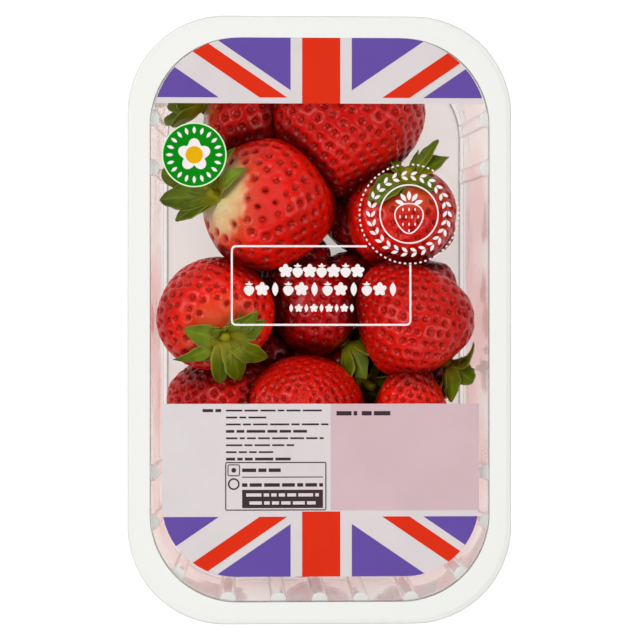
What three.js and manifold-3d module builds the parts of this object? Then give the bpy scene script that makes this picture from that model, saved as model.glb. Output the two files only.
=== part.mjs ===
// Heat-sealed punnet of strawberries: a clear thermoformed tray with a flange, ribbed walls and
// a flat base, the lidding film sealed on the flange, and the heap of fruit shut in between.
// Millimetres, +Z up. The origin is on the ground under the middle of the tray, whose long
// side runs along Y.

import * as THREE from 'three';
import { mergeVertices } from 'three/addons/utils/BufferGeometryUtils.js';
import Module from 'manifold-3d';

const wasm = await Module();
wasm.setup();

// ---- driving dimensions ----

const TRAY_LENGTH = 190; // along Y, over the flange
const TRAY_WIDTH = 120; // along X, over the flange
const TRAY_HEIGHT = 52; // from the ground to the top of the flange
const CORNER_RADIUS = 30.5; // of the flange's outer edge
const RIM_RADIUS = 27.3; // of the wall's inner face, at the corners
const SHEET = 0.6; // the formed sheet is this thick

const FLANGE_WIDTH = 6.9; // from its outer edge to the edge of the opening
const LIP_DROP = 2.4; // the outer edge turns down by this much
const LIP_RADIUS = 0.9;
const RIM_INSET = 7.4; // the wall's inner face under the flange, in from the outer edge
const WALL_LEAN = 2.7; // the wall comes in by this much on its way down
const FOOT_RADIUS = 2; // of the round edge between wall and base

const RIB_WIDTH = 5.2; // half-round ribs that stand into the tray
const RIB_DEPTH = 2.5; // under the flange
const RIB_FOOT_DEPTH = 1; // at the foot of the wall
const LEDGE_TOP = 1.4; // the ribs' tops slope from this far below the flange
const LEDGE_FOOT = 2.1; // down to this far below it
const RIBS_ON_SIDE = [47.6, 63]; // from the middle of a long side
const RIBS_ON_END = [0, 12.9, 28.7]; // from the middle of an end

const FILM_THICKNESS = 0.3;
const FILM_MARGIN = 1.5; // bare flange outside the film
const CLEARANCE = 0.3; // between the film, the fruit and the tray
const MERGE_DISTANCE = 1e-3; // corners this close are one corner
const FLATNESS = 0.03; // faces that bend away by less than this become one

// The heap, berry by berry. at is the middle of a berry, size its length from calyx to tip,
// its width and its thickness, and aim the way its tip points: degrees round from +X, then
// degrees down. taper narrows the tip. crown holds, for each sepal, its turn round the stalk
// in degrees, its length, and how far it stands off the fruit as it goes out.
const BERRIES = [
  { at: [-19.5, 66, 18], size: [37, 33, 32], aim: [-10, 10], taper: 0.3, crown: evenCrown(8, 0.9) },
  { at: [9.5, 62, 24], size: [45, 50.5, 43], aim: [-95, 6], taper: 0.3 },
  {
    at: [-14, 36.5, 31], size: [44, 42, 40], aim: [-8, 34], taper: 0.28,
    crown: [
      [122, 15, 0.15], [172, 14.5, 0.1], [205, 17, 0.4], [250, 20, 0.8], [278, 18, 0.8],
      [310, 14, 0.7],
    ],
  },
  {
    at: [27, 31, 24], size: [37, 36, 34], aim: [-94, 40], taper: 0.28,
    crown: [
      [36, 14, 0], [60, 14, 0], [150, 10, 0], [199, 14.5, 0.4], [220, 14.5, 0.8], [300, 10, 0.1],
    ],
  },
  {
    at: [-33.2, 3.5, 29.5], size: [39, 38, 36], aim: [112, 62], taper: 0.24,
    crown: [
      [2, 12.8, 0.15], [24, 13, 0.35], [52, 8.5, 0.9], [112, 7, 0.9], [148, 12, 0.1],
      [195, 16.5, 0], [236, 15.5, 0.15], [270, 16.5, 0.1], [302, 16.5, 0.1],
    ],
  },
  {
    at: [-3, 6.5, 22], size: [39, 28.5, 31], aim: [131, 4], taper: 0.3,
    crown: [
      [0, 12, 0.5], [45, 15, 1.3], [92, 14, 2.2], [135, 14, 1], [180, 12, 0.8], [215, 15, 1.5],
      [270, 12, 0.7],
    ],
  },
  {
    at: [29.8, 0.8, 31.5], size: [39.5, 36, 38], aim: [130, -6], taper: 0.22,
    crown: [
      [36, 12, 0], [76, 11, 1], [120, 13, 0.9], [180, 13, 1], [205, 10, 0.4], [300, 12, 0.8],
    ],
  },
  { at: [-30, -28.3, 19], size: [38, 36, 34], aim: [165, 5], taper: 0.2 },
  { at: [-4.4, -28.3, 32.5], size: [41, 41, 39], aim: [100, -66], taper: 0.3 },
  { at: [30.2, -31.6, 32], size: [38, 27.4, 29], aim: [90, -8], taper: 0.35 },
  { at: [-27.5, -62, 30], size: [40, 37, 38], aim: [-115, 14], taper: 0.3, crown: evenCrown(8, 0.5) },
  { at: [3.5, -61.5, 23], size: [40, 37, 38], aim: [-80, -6], taper: 0.28, crown: evenCrown(8, 0.4) },
  { at: [31, -62, 22], size: [38, 33, 34], aim: [-60, 10], taper: 0.3, crown: evenCrown(8, 0.5) },
  {
    at: [10.5, -14, 12.5], size: [26, 24, 23.5], aim: [130, 50], taper: 0.25,
    crown: [
      [30, 9, 0.1], [90, 8, 0.1], [150, 8, 0.1], [210, 8, 0.1], [265, 9, 0.3], [300, 9, 0.3],
      [335, 10, 0.2],
    ],
  },
  lowerBerry([-13, -46, 13], 27, [20, 6]),
  lowerBerry([15, -48, 13], 27, [160, 4]),
  lowerBerry([-5, 15.5, 14], 25, [-70, 5]),
  lowerBerry([-16, 19, 12], 23, [-70, 5]),
  lowerBerry([14, 11.5, 13], 25, [15, 5]),
  lowerBerry([15.8, 32.5, 13], 27, [-60, 5]),
  lowerBerry([34.5, 33, 13], 25, [80, 5]),
  lowerBerry([34.5, 8, 13], 25, [-95, 5]),
  lowerBerry([34, -16, 13], 26, [100, 5]),
  lowerBerry([-14, -10, 13], 26, [30, 5]),
  lowerBerry([34, -42, 13], 25, [85, 5]),
  lowerBerry([-9, 78, 13], 24, [140, 5]),
  lowerBerry([-29, -71, 13], 26, [-80, 5]),
  lowerBerry([0, -72, 13], 26, [100, 5]),
  lowerBerry([28, -71, 13], 26, [-100, 5]),
];
const BERRY_SIDES = 12;
const BERRY_RINGS = 8;
const LOWER_BERRY_SIDES = 9;
const LOWER_BERRY_RINGS = 6;

const CORE_AT = [0, 0, 20]; // an egg-shaped core that ties the berries into one body
const CORE_SIZE = [54, 130, 17];

const SEPAL_THICKNESS = 0.8;
const SEPAL_SPREAD = 14; // half the turn that a sepal takes up where it is broadest, in degrees
const NOTCH_REACH = 4; // from the stalk to the notch between two sepals
const UNDER_SKIN = 1; // the crown starts this deep at the stalk
const OVER_SKIN = 0.8; // and lies this far above the skin from the notches on
const SHOULDER_FALL = 0.018; // the shoulder falls away by this, times the reach squared
const STANDS_CLEAR = 0.77; // a sepal that stands off by this no longer follows the shoulder
const LEAF_WAVE = 0.04; // up and down, as a share of the reach

// A crown whose sepals stand evenly round the stalk.
function evenCrown(count, off) {
  return Array.from({ length: count }, (_, leaf) => [(360 * leaf) / count, 14.5, off]);
}

// One of the smaller berries of the layer beneath, where no crown shows.
function lowerBerry(at, length, aim) {
  return { at, size: [length, length - 2, length - 2.5], aim, taper: 0.25, isLower: true };
}

// ---- the tray's rim ----

const HALF_SIDE = TRAY_LENGTH / 2 - RIM_INSET - RIM_RADIUS; // straight part of a long side
const HALF_END = TRAY_WIDTH / 2 - RIM_INSET - RIM_RADIUS; // straight part of an end
const CORNER_RUN = (RIM_RADIUS * Math.PI) / 2;
const QUARTER_RUN = HALF_SIDE + CORNER_RUN + HALF_END;

// The place on the rim this far along it from the middle of the +X side to the middle of the
// +Y end, with the way out of the tray there.
function rimPlace(run) {
  if (run < HALF_SIDE) {
    return { x: HALF_END + RIM_RADIUS, y: run, outX: 1, outY: 0 };
  }
  if (run < HALF_SIDE + CORNER_RUN) {
    const angle = (run - HALF_SIDE) / RIM_RADIUS;
    const outX = Math.cos(angle);
    const outY = Math.sin(angle);
    return { x: HALF_END + RIM_RADIUS * outX, y: HALF_SIDE + RIM_RADIUS * outY, outX, outY };
  }
  return { x: QUARTER_RUN - run, y: HALF_SIDE + RIM_RADIUS, outX: 0, outY: 1 };
}

// Every place on a quarter of the rim that needs a corner: four or five over each half-round
// rib, and a few more round the bend between the ribs.
function quarterPlaces() {
  const ribs = [
    ...RIBS_ON_SIDE,
    HALF_SIDE + CORNER_RUN / 2,
    ...RIBS_ON_END.map((x) => QUARTER_RUN - x),
  ];
  const places = [];
  for (const middle of ribs) {
    for (const angle of middle < QUARTER_RUN ? [-90, -35, 35, 90] : [-90, -48, 0]) {
      const across = Math.sin(THREE.MathUtils.degToRad(angle));
      const run = middle + (across * RIB_WIDTH) / 2;
      if (run < QUARTER_RUN + 1e-6) {
        places.push({ run, rib: Math.cos(THREE.MathUtils.degToRad(angle)) });
      }
    }
  }
  const bendSteps = 8;
  for (let i = 0; i <= bendSteps; i++) {
    const run = HALF_SIDE + (CORNER_RUN * i) / bendSteps;
    if (ribs.every((middle) => Math.abs(run - middle) > RIB_WIDTH / 2 + 1)) {
      places.push({ run, rib: 0 });
    }
  }
  places.sort((a, b) => a.run - b.run);
  return places.map(({ run, rib }) => ({ ...rimPlace(Math.min(run, QUARTER_RUN)), rib }));
}

// All the places round the rim, anticlockwise from above, mirrored from the first quarter.
function rimPlaces() {
  const quarter = quarterPlaces();
  const offTheMiddle = quarter.filter((place) => place.x > 1e-6);
  const mirrored = (list, sx, sy) =>
    list.map((p) => ({ x: sx * p.x, y: sy * p.y, outX: sx * p.outX, outY: sy * p.outY, rib: p.rib }));
  return [
    ...mirrored(quarter, 1, 1),
    ...mirrored([...offTheMiddle].reverse(), -1, 1),
    ...mirrored(quarter, -1, -1),
    ...mirrored([...offTheMiddle].reverse(), 1, -1),
  ];
}

const RIM = rimPlaces();

// The corner radius this far in from the flange's outer edge.
function cornerRadius(inset) {
  const share = Math.min(1, inset / RIM_INSET);
  const pastRim = Math.max(0, inset - RIM_INSET);
  return CORNER_RADIUS + (RIM_RADIUS - CORNER_RADIUS) * share - pastRim;
}

// One trip round the tray at a height, this far in from the flange's outer edge, bent inwards
// by the depth of the ribs.
function ring(inset, z, ribDepth = 0) {
  const radius = cornerRadius(inset);
  const stretchX = (TRAY_WIDTH / 2 - inset - radius) / HALF_END;
  const stretchY = (TRAY_LENGTH / 2 - inset - radius) / HALF_SIDE;
  return RIM.map(({ x, y, outX, outY, rib }) => {
    const out = radius - ribDepth * rib;
    const centreX = (x - outX * RIM_RADIUS) * stretchX;
    const centreY = (y - outY * RIM_RADIUS) * stretchY;
    return new THREE.Vector3(centreX + outX * out, centreY + outY * out, z);
  });
}

// A closed body over a row of rings of the same count, each patch split along its shorter
// diagonal, with a flat fan in the first and the last ring.
function loft(rings) {
  const count = rings[0].length;
  const points = rings.flat();
  const faces = [];
  for (let level = 0; level + 1 < rings.length; level++) {
    for (let i = 0; i < count; i++) {
      const a = level * count + i;
      const b = level * count + ((i + 1) % count);
      const c = b + count;
      const d = a + count;
      const shorter = points[a].distanceTo(points[c]) < points[b].distanceTo(points[d]);
      faces.push(...(shorter ? [a, b, c, a, c, d] : [a, b, d, b, c, d]));
    }
  }
  for (const [level, flip] of [[0, true], [rings.length - 1, false]]) {
    const middle = points.length;
    points.push(new THREE.Vector3(0, 0, rings[level][0].z));
    for (let i = 0; i < count; i++) {
      const a = level * count + i;
      const b = level * count + ((i + 1) % count);
      faces.push(...(flip ? [middle, b, a] : [middle, a, b]));
    }
  }
  return new THREE.BufferGeometry().setFromPoints(points).setIndex(faces);
}

// ---- tray ----

// The sheet's under side from the base up to the lip, then its upper side back down to the
// base: the rings of one closed shell.
function trayGeometry() {
  const top = TRAY_HEIGHT;
  const wallFoot = RIM_INSET + WALL_LEAN;
  const baseEdge = wallFoot + FOOT_RADIUS;
  const bend = FOOT_RADIUS * 0.29; // a quarter circle's middle is this far from its corner
  return loft([
    ring(baseEdge - SHEET * 0.3, 0),
    ring(wallFoot - SHEET + bend, bend),
    ring(wallFoot - SHEET, FOOT_RADIUS, RIB_FOOT_DEPTH),
    ring(RIM_INSET - SHEET, top - LEDGE_FOOT - SHEET, RIB_DEPTH),
    ring(RIM_INSET - SHEET, top - LEDGE_TOP - SHEET),
    ring(FLANGE_WIDTH - SHEET, top - SHEET),
    ring(SHEET + LIP_RADIUS, top - SHEET),
    ring(SHEET, top - SHEET - LIP_RADIUS),
    ring(SHEET, top - LIP_DROP),
    ring(0, top - LIP_DROP),
    ring(0, top - LIP_RADIUS),
    ring(LIP_RADIUS, top),
    ring(FLANGE_WIDTH, top),
    ring(RIM_INSET, top - LEDGE_TOP),
    ring(RIM_INSET, top - LEDGE_FOOT, RIB_DEPTH),
    ring(wallFoot, FOOT_RADIUS + SHEET, RIB_FOOT_DEPTH),
    ring(wallFoot + bend, bend + SHEET),
    ring(baseEdge, SHEET),
  ]);
}

// ---- film ----

// A flat sheet with the flange's rounded outline.
function filmGeometry() {
  const radius = cornerRadius(FILM_MARGIN);
  const farX = TRAY_WIDTH / 2 - FILM_MARGIN - radius;
  const farY = TRAY_LENGTH / 2 - FILM_MARGIN - radius;
  const shape = new THREE.Shape();
  [[farX, farY], [-farX, farY], [-farX, -farY], [farX, -farY]].forEach(([x, y], corner) => {
    shape.absarc(x, y, radius, (corner * Math.PI) / 2, ((corner + 1) * Math.PI) / 2);
  });
  shape.closePath();
  return new THREE.ExtrudeGeometry(shape, {
    depth: FILM_THICKNESS,
    bevelEnabled: false,
    curveSegments: 8,
  });
}

// ---- strawberries ----

// A manifold of a three.js geometry, with its shared corners merged.
function solid(geometry) {
  const bare = geometry.clone();
  bare.deleteAttribute('normal');
  bare.deleteAttribute('uv');
  const merged = mergeVertices(bare, MERGE_DISTANCE);
  return new wasm.Manifold(
    new wasm.Mesh({
      numProp: 3,
      vertProperties: new Float32Array(merged.attributes.position.array),
      triVerts: new Uint32Array(merged.index.array),
    })
  );
}

// The place and the turn of a berry: its own z points from the tip to the calyx, its own x is
// level.
function berryFrame({ at, aim }) {
  const [round, down] = aim.map(THREE.MathUtils.degToRad);
  const calyxWay = new THREE.Vector3(
    -Math.cos(down) * Math.cos(round),
    -Math.cos(down) * Math.sin(round),
    Math.sin(down)
  );
  const levelWay = new THREE.Vector3(0, 0, 1).cross(calyxWay).normalize();
  const thirdWay = calyxWay.clone().cross(levelWay);
  return new THREE.Matrix4().makeBasis(levelWay, thirdWay, calyxWay).setPosition(...at);
}

// How wide a berry is at a place along its axis, from -1 at the tip to 1 at the calyx, as a
// share of its greatest width.
function girth(along, taper) {
  return (Math.sqrt(Math.max(0, 1 - along * along)) * (1 + taper * along)) / (1 + (taper * taper) / 2);
}

// A berry with few sides, in its own frame: a ball drawn out into a blunt cone.
function berryGeometry({ size, taper, isLower }) {
  const [length, width, thickness] = size;
  const sides = isLower ? LOWER_BERRY_SIDES : BERRY_SIDES;
  const rings = isLower ? LOWER_BERRY_RINGS : BERRY_RINGS;
  const geometry = new THREE.SphereGeometry(1, sides, rings).rotateX(Math.PI / 2);
  const corners = geometry.attributes.position;
  for (let i = 0; i < corners.count; i++) {
    const along = corners.getZ(i);
    const around = Math.atan2(corners.getY(i), corners.getX(i));
    const wide = girth(along, taper);
    corners.setXYZ(
      i,
      (Math.cos(around) * wide * width) / 2,
      (Math.sin(around) * wide * thickness) / 2,
      (along * length) / 2
    );
  }
  return geometry;
}

// A closed thin slab round a middle point: so many corners around on each of its levels. place
// gives a corner on the upper (1) or the lower (-1) face, and both are split into triangles
// alike.
function roundSlab(around, levels, place) {
  const points = [];
  const faces = [];
  for (const face of [1, -1]) {
    points.push(place(0, 0, face));
    for (let level = 1; level <= levels; level++) {
      for (let i = 0; i < around; i++) {
        points.push(place(i, level / levels, face));
      }
    }
  }
  const perFace = points.length / 2;
  const corner = (i, level) => (level === 0 ? 0 : 1 + (level - 1) * around + (i % around));
  const addToBoth = (a, b, c) => faces.push(a, b, c, a + perFace, c + perFace, b + perFace);
  for (let i = 0; i < around; i++) {
    addToBoth(0, corner(i, 1), corner(i + 1, 1));
    for (let level = 1; level < levels; level++) {
      addToBoth(corner(i, level), corner(i, level + 1), corner(i + 1, level + 1));
      addToBoth(corner(i, level), corner(i + 1, level + 1), corner(i + 1, level));
    }
    const a = corner(i, levels);
    const b = corner(i + 1, levels);
    faces.push(a, a + perFace, b + perFace, a, b + perFace, b);
  }
  return new THREE.BufferGeometry().setFromPoints(points).setIndex(faces);
}

// The corners of a crown's outline, anticlockwise: for each sepal the notch before it, its one
// side, its tip and its other side. out is how far each lies from the stalk, and off how far
// the leaf stands off the fruit there.
function crownOutline(crown) {
  const count = crown.length;
  return crown.flatMap(([turn, length, off], i) => {
    const [turnBefore, , offBefore] = crown[(i + count - 1) % count];
    const [turnAfter] = crown[(i + 1) % count];
    const toBefore = ((turn - turnBefore + 360) % 360) / 2;
    const toAfter = ((turnAfter - turn + 360) % 360) / 2;
    return [
      { turn: turn - toBefore, out: NOTCH_REACH, off: (off + offBefore) / 2 },
      { turn: turn - Math.min(SEPAL_SPREAD, 0.6 * toBefore), out: 0.6 * length, off },
      { turn, out: length, off },
      { turn: turn + Math.min(SEPAL_SPREAD, 0.6 * toAfter), out: 0.6 * length, off },
    ];
  });
}

// A calyx in its berry's frame: one thin wavy star of pointed sepals. It starts under the skin
// at the berry's end, and each sepal rests on the shoulder or stands off it.
function calyxGeometry({ at, size, crown }) {
  const outline = crownOutline(crown);
  return roundSlab(outline.length, 2, (i, share, face) => {
    const { turn, out, off } = outline[i];
    const along = out * share;
    const lean = Math.atan(off);
    const aside = along * Math.cos(lean);
    const fall = SHOULDER_FALL * aside ** 2 * (1 - Math.min(1, off / STANDS_CLEAR));
    const overSkin = (UNDER_SKIN + OVER_SKIN) * Math.min(1, along / NOTCH_REACH) - UNDER_SKIN;
    const rise = along * (Math.sin(lean) + LEAF_WAVE * Math.sin(5 * i + at[1]));
    const height = size[0] / 2 + overSkin + rise - fall + (face * SEPAL_THICKNESS) / 2;
    const angle = THREE.MathUtils.degToRad(turn);
    return new THREE.Vector3(aside * Math.cos(angle), aside * Math.sin(angle), height);
  });
}

// The space that the fruit may fill, clear of the wall, the ribs, the base and the film.
function cavityGeometry() {
  const wallFoot = RIM_INSET + WALL_LEAN + CLEARANCE;
  const floor = SHEET + CLEARANCE;
  return loft([
    ring(wallFoot + FOOT_RADIUS, floor),
    ring(wallFoot + FOOT_RADIUS * 0.3, floor + FOOT_RADIUS * 0.3),
    ring(wallFoot, floor + FOOT_RADIUS, RIB_FOOT_DEPTH),
    ring(RIM_INSET + CLEARANCE, TRAY_HEIGHT - LEDGE_FOOT - CLEARANCE, RIB_DEPTH),
    ring(RIM_INSET + RIB_DEPTH + CLEARANCE, TRAY_HEIGHT - LEDGE_FOOT),
    ring(RIM_INSET + RIB_DEPTH + CLEARANCE, TRAY_HEIGHT - CLEARANCE),
  ]);
}

// A three.js geometry of a manifold.
function geometryOf(manifold) {
  const mesh = manifold.getMesh();
  return new THREE.BufferGeometry()
    .setAttribute('position', new THREE.BufferAttribute(mesh.vertProperties, 3))
    .setIndex(new THREE.BufferAttribute(mesh.triVerts, 1));
}

// The heap: core, berries and calyces fused and kept inside the cavity. Only the outermost
// shell is kept, so that sealed hollows between the berries are filled and scraps go. That is
// done until one shell is left, because merging corners can pinch off one more hollow.
function heapGeometry() {
  const core = new THREE.SphereGeometry(0.5, 12, 6).rotateX(Math.PI / 2);
  core.scale(...CORE_SIZE).translate(...CORE_AT);
  let heap = solid(core);
  for (const berry of BERRIES) {
    const frame = berryFrame(berry);
    heap = heap.add(solid(berryGeometry(berry).applyMatrix4(frame)));
    if (berry.crown) {
      heap = heap.add(solid(calyxGeometry(berry).applyMatrix4(frame)));
    }
  }
  let shells = [heap.intersect(solid(cavityGeometry())).simplify(FLATNESS)];
  do {
    shells = solid(geometryOf(shells[0])).decompose();
    shells.sort((a, b) => b.volume() - a.volume());
  } while (shells.length > 1);
  return geometryOf(shells[0]);
}

// ---- the whole punnet ----

const clearPlastic = new THREE.MeshStandardMaterial({
  color: 0xeef0ec,
  roughness: 0.08,
  metalness: 0,
  transparent: true,
  opacity: 0.3,
});
const lidFilm = clearPlastic.clone();
lidFilm.opacity = 0.2;
const fruit = new THREE.MeshStandardMaterial({ color: 0xc01f1a, roughness: 0.35, metalness: 0 });

function namedMesh(name, geometry, material) {
  const mesh = new THREE.Mesh(geometry, material);
  mesh.name = name;
  return mesh;
}

const group = new THREE.Group();
group.add(namedMesh('tray', trayGeometry(), clearPlastic));

const film = namedMesh('film', filmGeometry(), lidFilm);
film.position.z = TRAY_HEIGHT + CLEARANCE;
group.add(film);

group.add(namedMesh('strawberries', heapGeometry(), fruit));

export default group;
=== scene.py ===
import math

import bmesh
import bpy
import numpy as np
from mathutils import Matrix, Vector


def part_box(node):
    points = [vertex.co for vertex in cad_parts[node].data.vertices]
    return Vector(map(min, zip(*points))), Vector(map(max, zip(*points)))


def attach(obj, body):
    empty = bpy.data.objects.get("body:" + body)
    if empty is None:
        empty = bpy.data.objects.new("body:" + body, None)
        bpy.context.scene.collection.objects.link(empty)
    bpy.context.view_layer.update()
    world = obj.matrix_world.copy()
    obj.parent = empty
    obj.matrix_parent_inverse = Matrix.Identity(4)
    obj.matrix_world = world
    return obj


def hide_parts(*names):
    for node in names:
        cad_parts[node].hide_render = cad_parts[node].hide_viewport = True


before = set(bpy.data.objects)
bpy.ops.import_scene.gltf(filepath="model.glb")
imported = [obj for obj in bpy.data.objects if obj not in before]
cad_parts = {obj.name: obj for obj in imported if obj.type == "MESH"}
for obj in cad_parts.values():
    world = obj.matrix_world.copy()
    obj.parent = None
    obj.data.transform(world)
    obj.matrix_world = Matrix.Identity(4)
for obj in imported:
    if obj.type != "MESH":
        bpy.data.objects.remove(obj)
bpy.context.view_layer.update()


# ---- formed tray ----
# The tray is one sheet of clear plastic, drawn warm into a mould. Half-round ribs stiffen its
# walls and end in small ledges, and the flange round its mouth turns down into a lip. The
# flange and the ledges are cloudy, because the hot sealing plate has pressed on them.

MM = 0.001
tray_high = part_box("tray")[1]
TRAY_TOP = tray_high.z
SHEET = 0.6 * MM
CORNER_RADIUS = 30.5 * MM
RIM_RADIUS = 27.3 * MM
FLANGE_WIDTH = 6.9 * MM
RIM_INSET = 7.4 * MM
HALF_END = tray_high.x - RIM_INSET - RIM_RADIUS
HALF_SIDE = tray_high.y - RIM_INSET - RIM_RADIUS
WALL_FOOT = RIM_INSET + 2.7 * MM
FOOT_RADIUS = 2 * MM
LIP_RADIUS = 0.9 * MM
LIP_DROP = 2.4 * MM
RIB_HALF = 2.6 * MM
RIB_DEPTH = 2.5 * MM
RIB_FOOT_DEPTH = 1 * MM
LEDGE_TOP = TRAY_TOP - 1.4 * MM
LEDGE_FOOT = TRAY_TOP - 2.1 * MM
WALL_TILT = 1.5  # how far the sheet stands up from level, in radians
LEDGE_TILT = 0.8
# FOOT_LINES mark where painted grey lines stand in for the reflections of the foot's bend.
FOOT_LINES = (256, 201)  # degrees round the foot's bend where the sheet looks grey

CORNER_RUN = RIM_RADIUS * math.pi / 2
QUARTER_RUN = HALF_SIDE + CORNER_RUN + HALF_END
RIBS = [47.6 * MM, 63 * MM, HALF_SIDE + CORNER_RUN / 2]
RIBS += [QUARTER_RUN - x * MM for x in (28.7, 12.9, 0)]


def smooth(low, high, value):
    """0 below low, 1 above high, and an S-shaped step between."""
    share = np.clip((value - low) / (high - low), 0, 1)
    return share * share * (3 - 2 * share)


def rib_share(run):
    """How far a half-round rib stands in, 0 to 1, at places along a quarter of the rim."""
    off = np.abs(np.asarray(run)[..., None] - RIBS) / RIB_HALF
    return np.sqrt(np.clip(1 - off**2, 0, 1)).max(-1)


def quarter_rim():
    """Rows of x, y, outward x, outward y, rib share, from the +X side round to the +Y end."""
    spread = np.sin(np.radians(np.linspace(-90, 90, 15)))
    runs = np.concatenate([rib + spread * RIB_HALF for rib in RIBS])
    plain = np.linspace(0, QUARTER_RUN, 44)
    plain = plain[np.abs(plain[:, None] - RIBS).min(1) > RIB_HALF + 0.7 * MM]
    runs = np.unique(np.round(np.concatenate([runs, plain]), 7))
    runs = runs[runs <= QUARTER_RUN]
    angle = np.clip((runs - HALF_SIDE) / RIM_RADIUS, 0, math.pi / 2)
    out_x = np.cos(angle)
    out_y = np.sin(angle)
    x = HALF_END + RIM_RADIUS * out_x - np.clip(runs - HALF_SIDE - CORNER_RUN, 0, None)
    y = np.minimum(runs, HALF_SIDE) + RIM_RADIUS * out_y
    return np.stack([x, y, out_x, out_y, rib_share(runs)], 1)


def whole_rim():
    """The rows of all four quarters, anticlockwise from above."""
    quarter = quarter_rim()
    inner = quarter[quarter[:, 0] > 1e-6][::-1]
    flip_x = np.array([-1, 1, -1, 1, 1])
    flip_y = np.array([1, -1, 1, -1, 1])
    rim = np.concatenate([quarter, inner * flip_x, quarter * flip_x * flip_y, inner * flip_y])
    again = np.linalg.norm(rim[:, :2] - np.roll(rim[:, :2], 1, 0), axis=1) < 1e-7
    return rim[~again]


RIM = whole_rim()


def ring(inset, z, rib_depth=0.0):
    """One trip round the tray, this far in from the flange's edge, pushed in by the ribs."""
    share = min(1, inset / RIM_INSET)
    radius = CORNER_RADIUS + (RIM_RADIUS - CORNER_RADIUS) * share - max(0, inset - RIM_INSET)
    out = RIM[:, 2:4]
    bones = RIM[:, :2] - out * RIM_RADIUS
    bones *= (np.array([tray_high.x, tray_high.y]) - inset - radius) / [HALF_END, HALF_SIDE]
    places = bones + out * (radius - rib_depth * RIM[:, 4:])
    return np.column_stack([places, np.full(len(RIM), z)])


def loft(rings):
    """Points and faces of a closed body over rings of one count, with a fan at each end."""
    count = len(rings[0])
    middles = [rings[0].mean(0), rings[-1].mean(0)]
    points = np.concatenate([*rings, middles])
    here = np.arange(count)
    there = np.roll(here, -1)
    faces = []
    for level in range(len(rings) - 1):
        low = level * count
        high = low + count
        faces += np.stack([here + low, there + low, there + high, here + high], 1).tolist()
    first = len(rings) * count
    last = (len(rings) - 1) * count
    faces += [[first, int(b), int(a)] for a, b in zip(here, there)]
    faces += [[first + 1, last + int(a), last + int(b)] for a, b in zip(here, there)]
    return points, faces


def make_piece(name, points, faces, material, values=None, crease=180):
    """A smooth mesh piece, with sharp edges where it bends by more than crease degrees.

    values holds numbers per corner for the material to read.
    """
    mesh = bpy.data.meshes.new(name)
    mesh.from_pydata(np.asarray(points).tolist(), [], faces)
    mesh.shade_smooth()
    mesh.set_sharp_from_angle(angle=math.radians(crease))
    for key, numbers in (values or {}).items():
        layer = mesh.attributes.new(key, "FLOAT", "POINT")
        layer.data.foreach_set("value", np.asarray(numbers, np.float32))
    piece = bpy.data.objects.new(name, mesh)
    bpy.context.collection.objects.link(piece)
    mesh.materials.append(material)
    return piece


def near(value, middle, reach):
    """1 where a value is at the middle, down to 0 a reach away."""
    return np.clip(1 - np.abs(value - middle) / reach, 0, 1)


def arc_stations(inset, z, radius, start, end, steps):
    """Places round an arc in the sheet's section: inset, height and turn."""
    for turn in np.radians(np.linspace(start, end, steps)):
        yield inset + radius * math.cos(turn), z + radius * math.sin(turn), turn


def tray_sections():
    """Places up the sheet's upper side: inset, height, rib depth, tilt, cloudiness, bend."""
    places = []
    bend = arc_stations(WALL_FOOT + FOOT_RADIUS, SHEET + FOOT_RADIUS, FOOT_RADIUS, 270, 180, 14)
    for inset, z, turn in bend:
        share = 1 - (z - SHEET) / FOOT_RADIUS
        angle = math.degrees(turn)
        sharp = float(sum(near(angle, line, 9) for line in FOOT_LINES))
        depth = RIB_FOOT_DEPTH * (1 - share**2)
        places.append((inset, z, depth, math.pi * 1.5 - turn, 0.0, sharp))
    foot = SHEET + FOOT_RADIUS
    for share in np.linspace(0.08, 1, 12):
        inset = WALL_FOOT + (RIM_INSET - WALL_FOOT) * share
        depth = RIB_FOOT_DEPTH + (RIB_DEPTH - RIB_FOOT_DEPTH) * share
        places.append((inset, foot + (LEDGE_FOOT - foot) * share, depth, WALL_TILT, 0.0, 0.0))
    for share, sharp in ((0.06, 0.8), (0.16, 0.0), (0.4, 0.0), (0.8, 0.0), (0.95, 0.0), (1, 0.8)):
        z = LEDGE_FOOT + (LEDGE_TOP - LEDGE_FOOT) * share**1.5
        places.append((RIM_INSET, z, RIB_DEPTH * (1 - share), LEDGE_TILT, 1.0, sharp))
    for share, sharp in ((0.35, 0.0), (0.7, 0.0), (0.86, 1.0)):
        z = LEDGE_TOP + (TRAY_TOP - LEDGE_TOP) * share
        inset = RIM_INSET + (FLANGE_WIDTH - RIM_INSET) * share**2
        places.append((inset, z, 0.0, LEDGE_TILT, 0.1, sharp))
    for inset in (FLANGE_WIDTH - 0.1 * MM, 6 * MM, 4 * MM, LIP_RADIUS + 0.05 * MM):
        places.append((inset, TRAY_TOP, 0.0, 0.0, 1.0, 0.0))
    bend = arc_stations(LIP_RADIUS, TRAY_TOP - LIP_RADIUS, LIP_RADIUS, 90, 180, 6)
    for inset, z, turn in bend:
        places.append((inset, z, 0.0, math.pi / 2 - turn, 1.0, 0.0))
    places.append((0, TRAY_TOP - LIP_DROP, 0.0, -math.pi / 2, 1.0, 0.0))
    return places


def sheet_values(cloud, bend):
    """Cloudiness and bend at each corner of a lofted sheet, and none at its two middles."""
    return {"cloud": np.concatenate([*cloud, [0, 0]]), "bend": np.concatenate([*bend, [0, 0]])}


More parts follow.
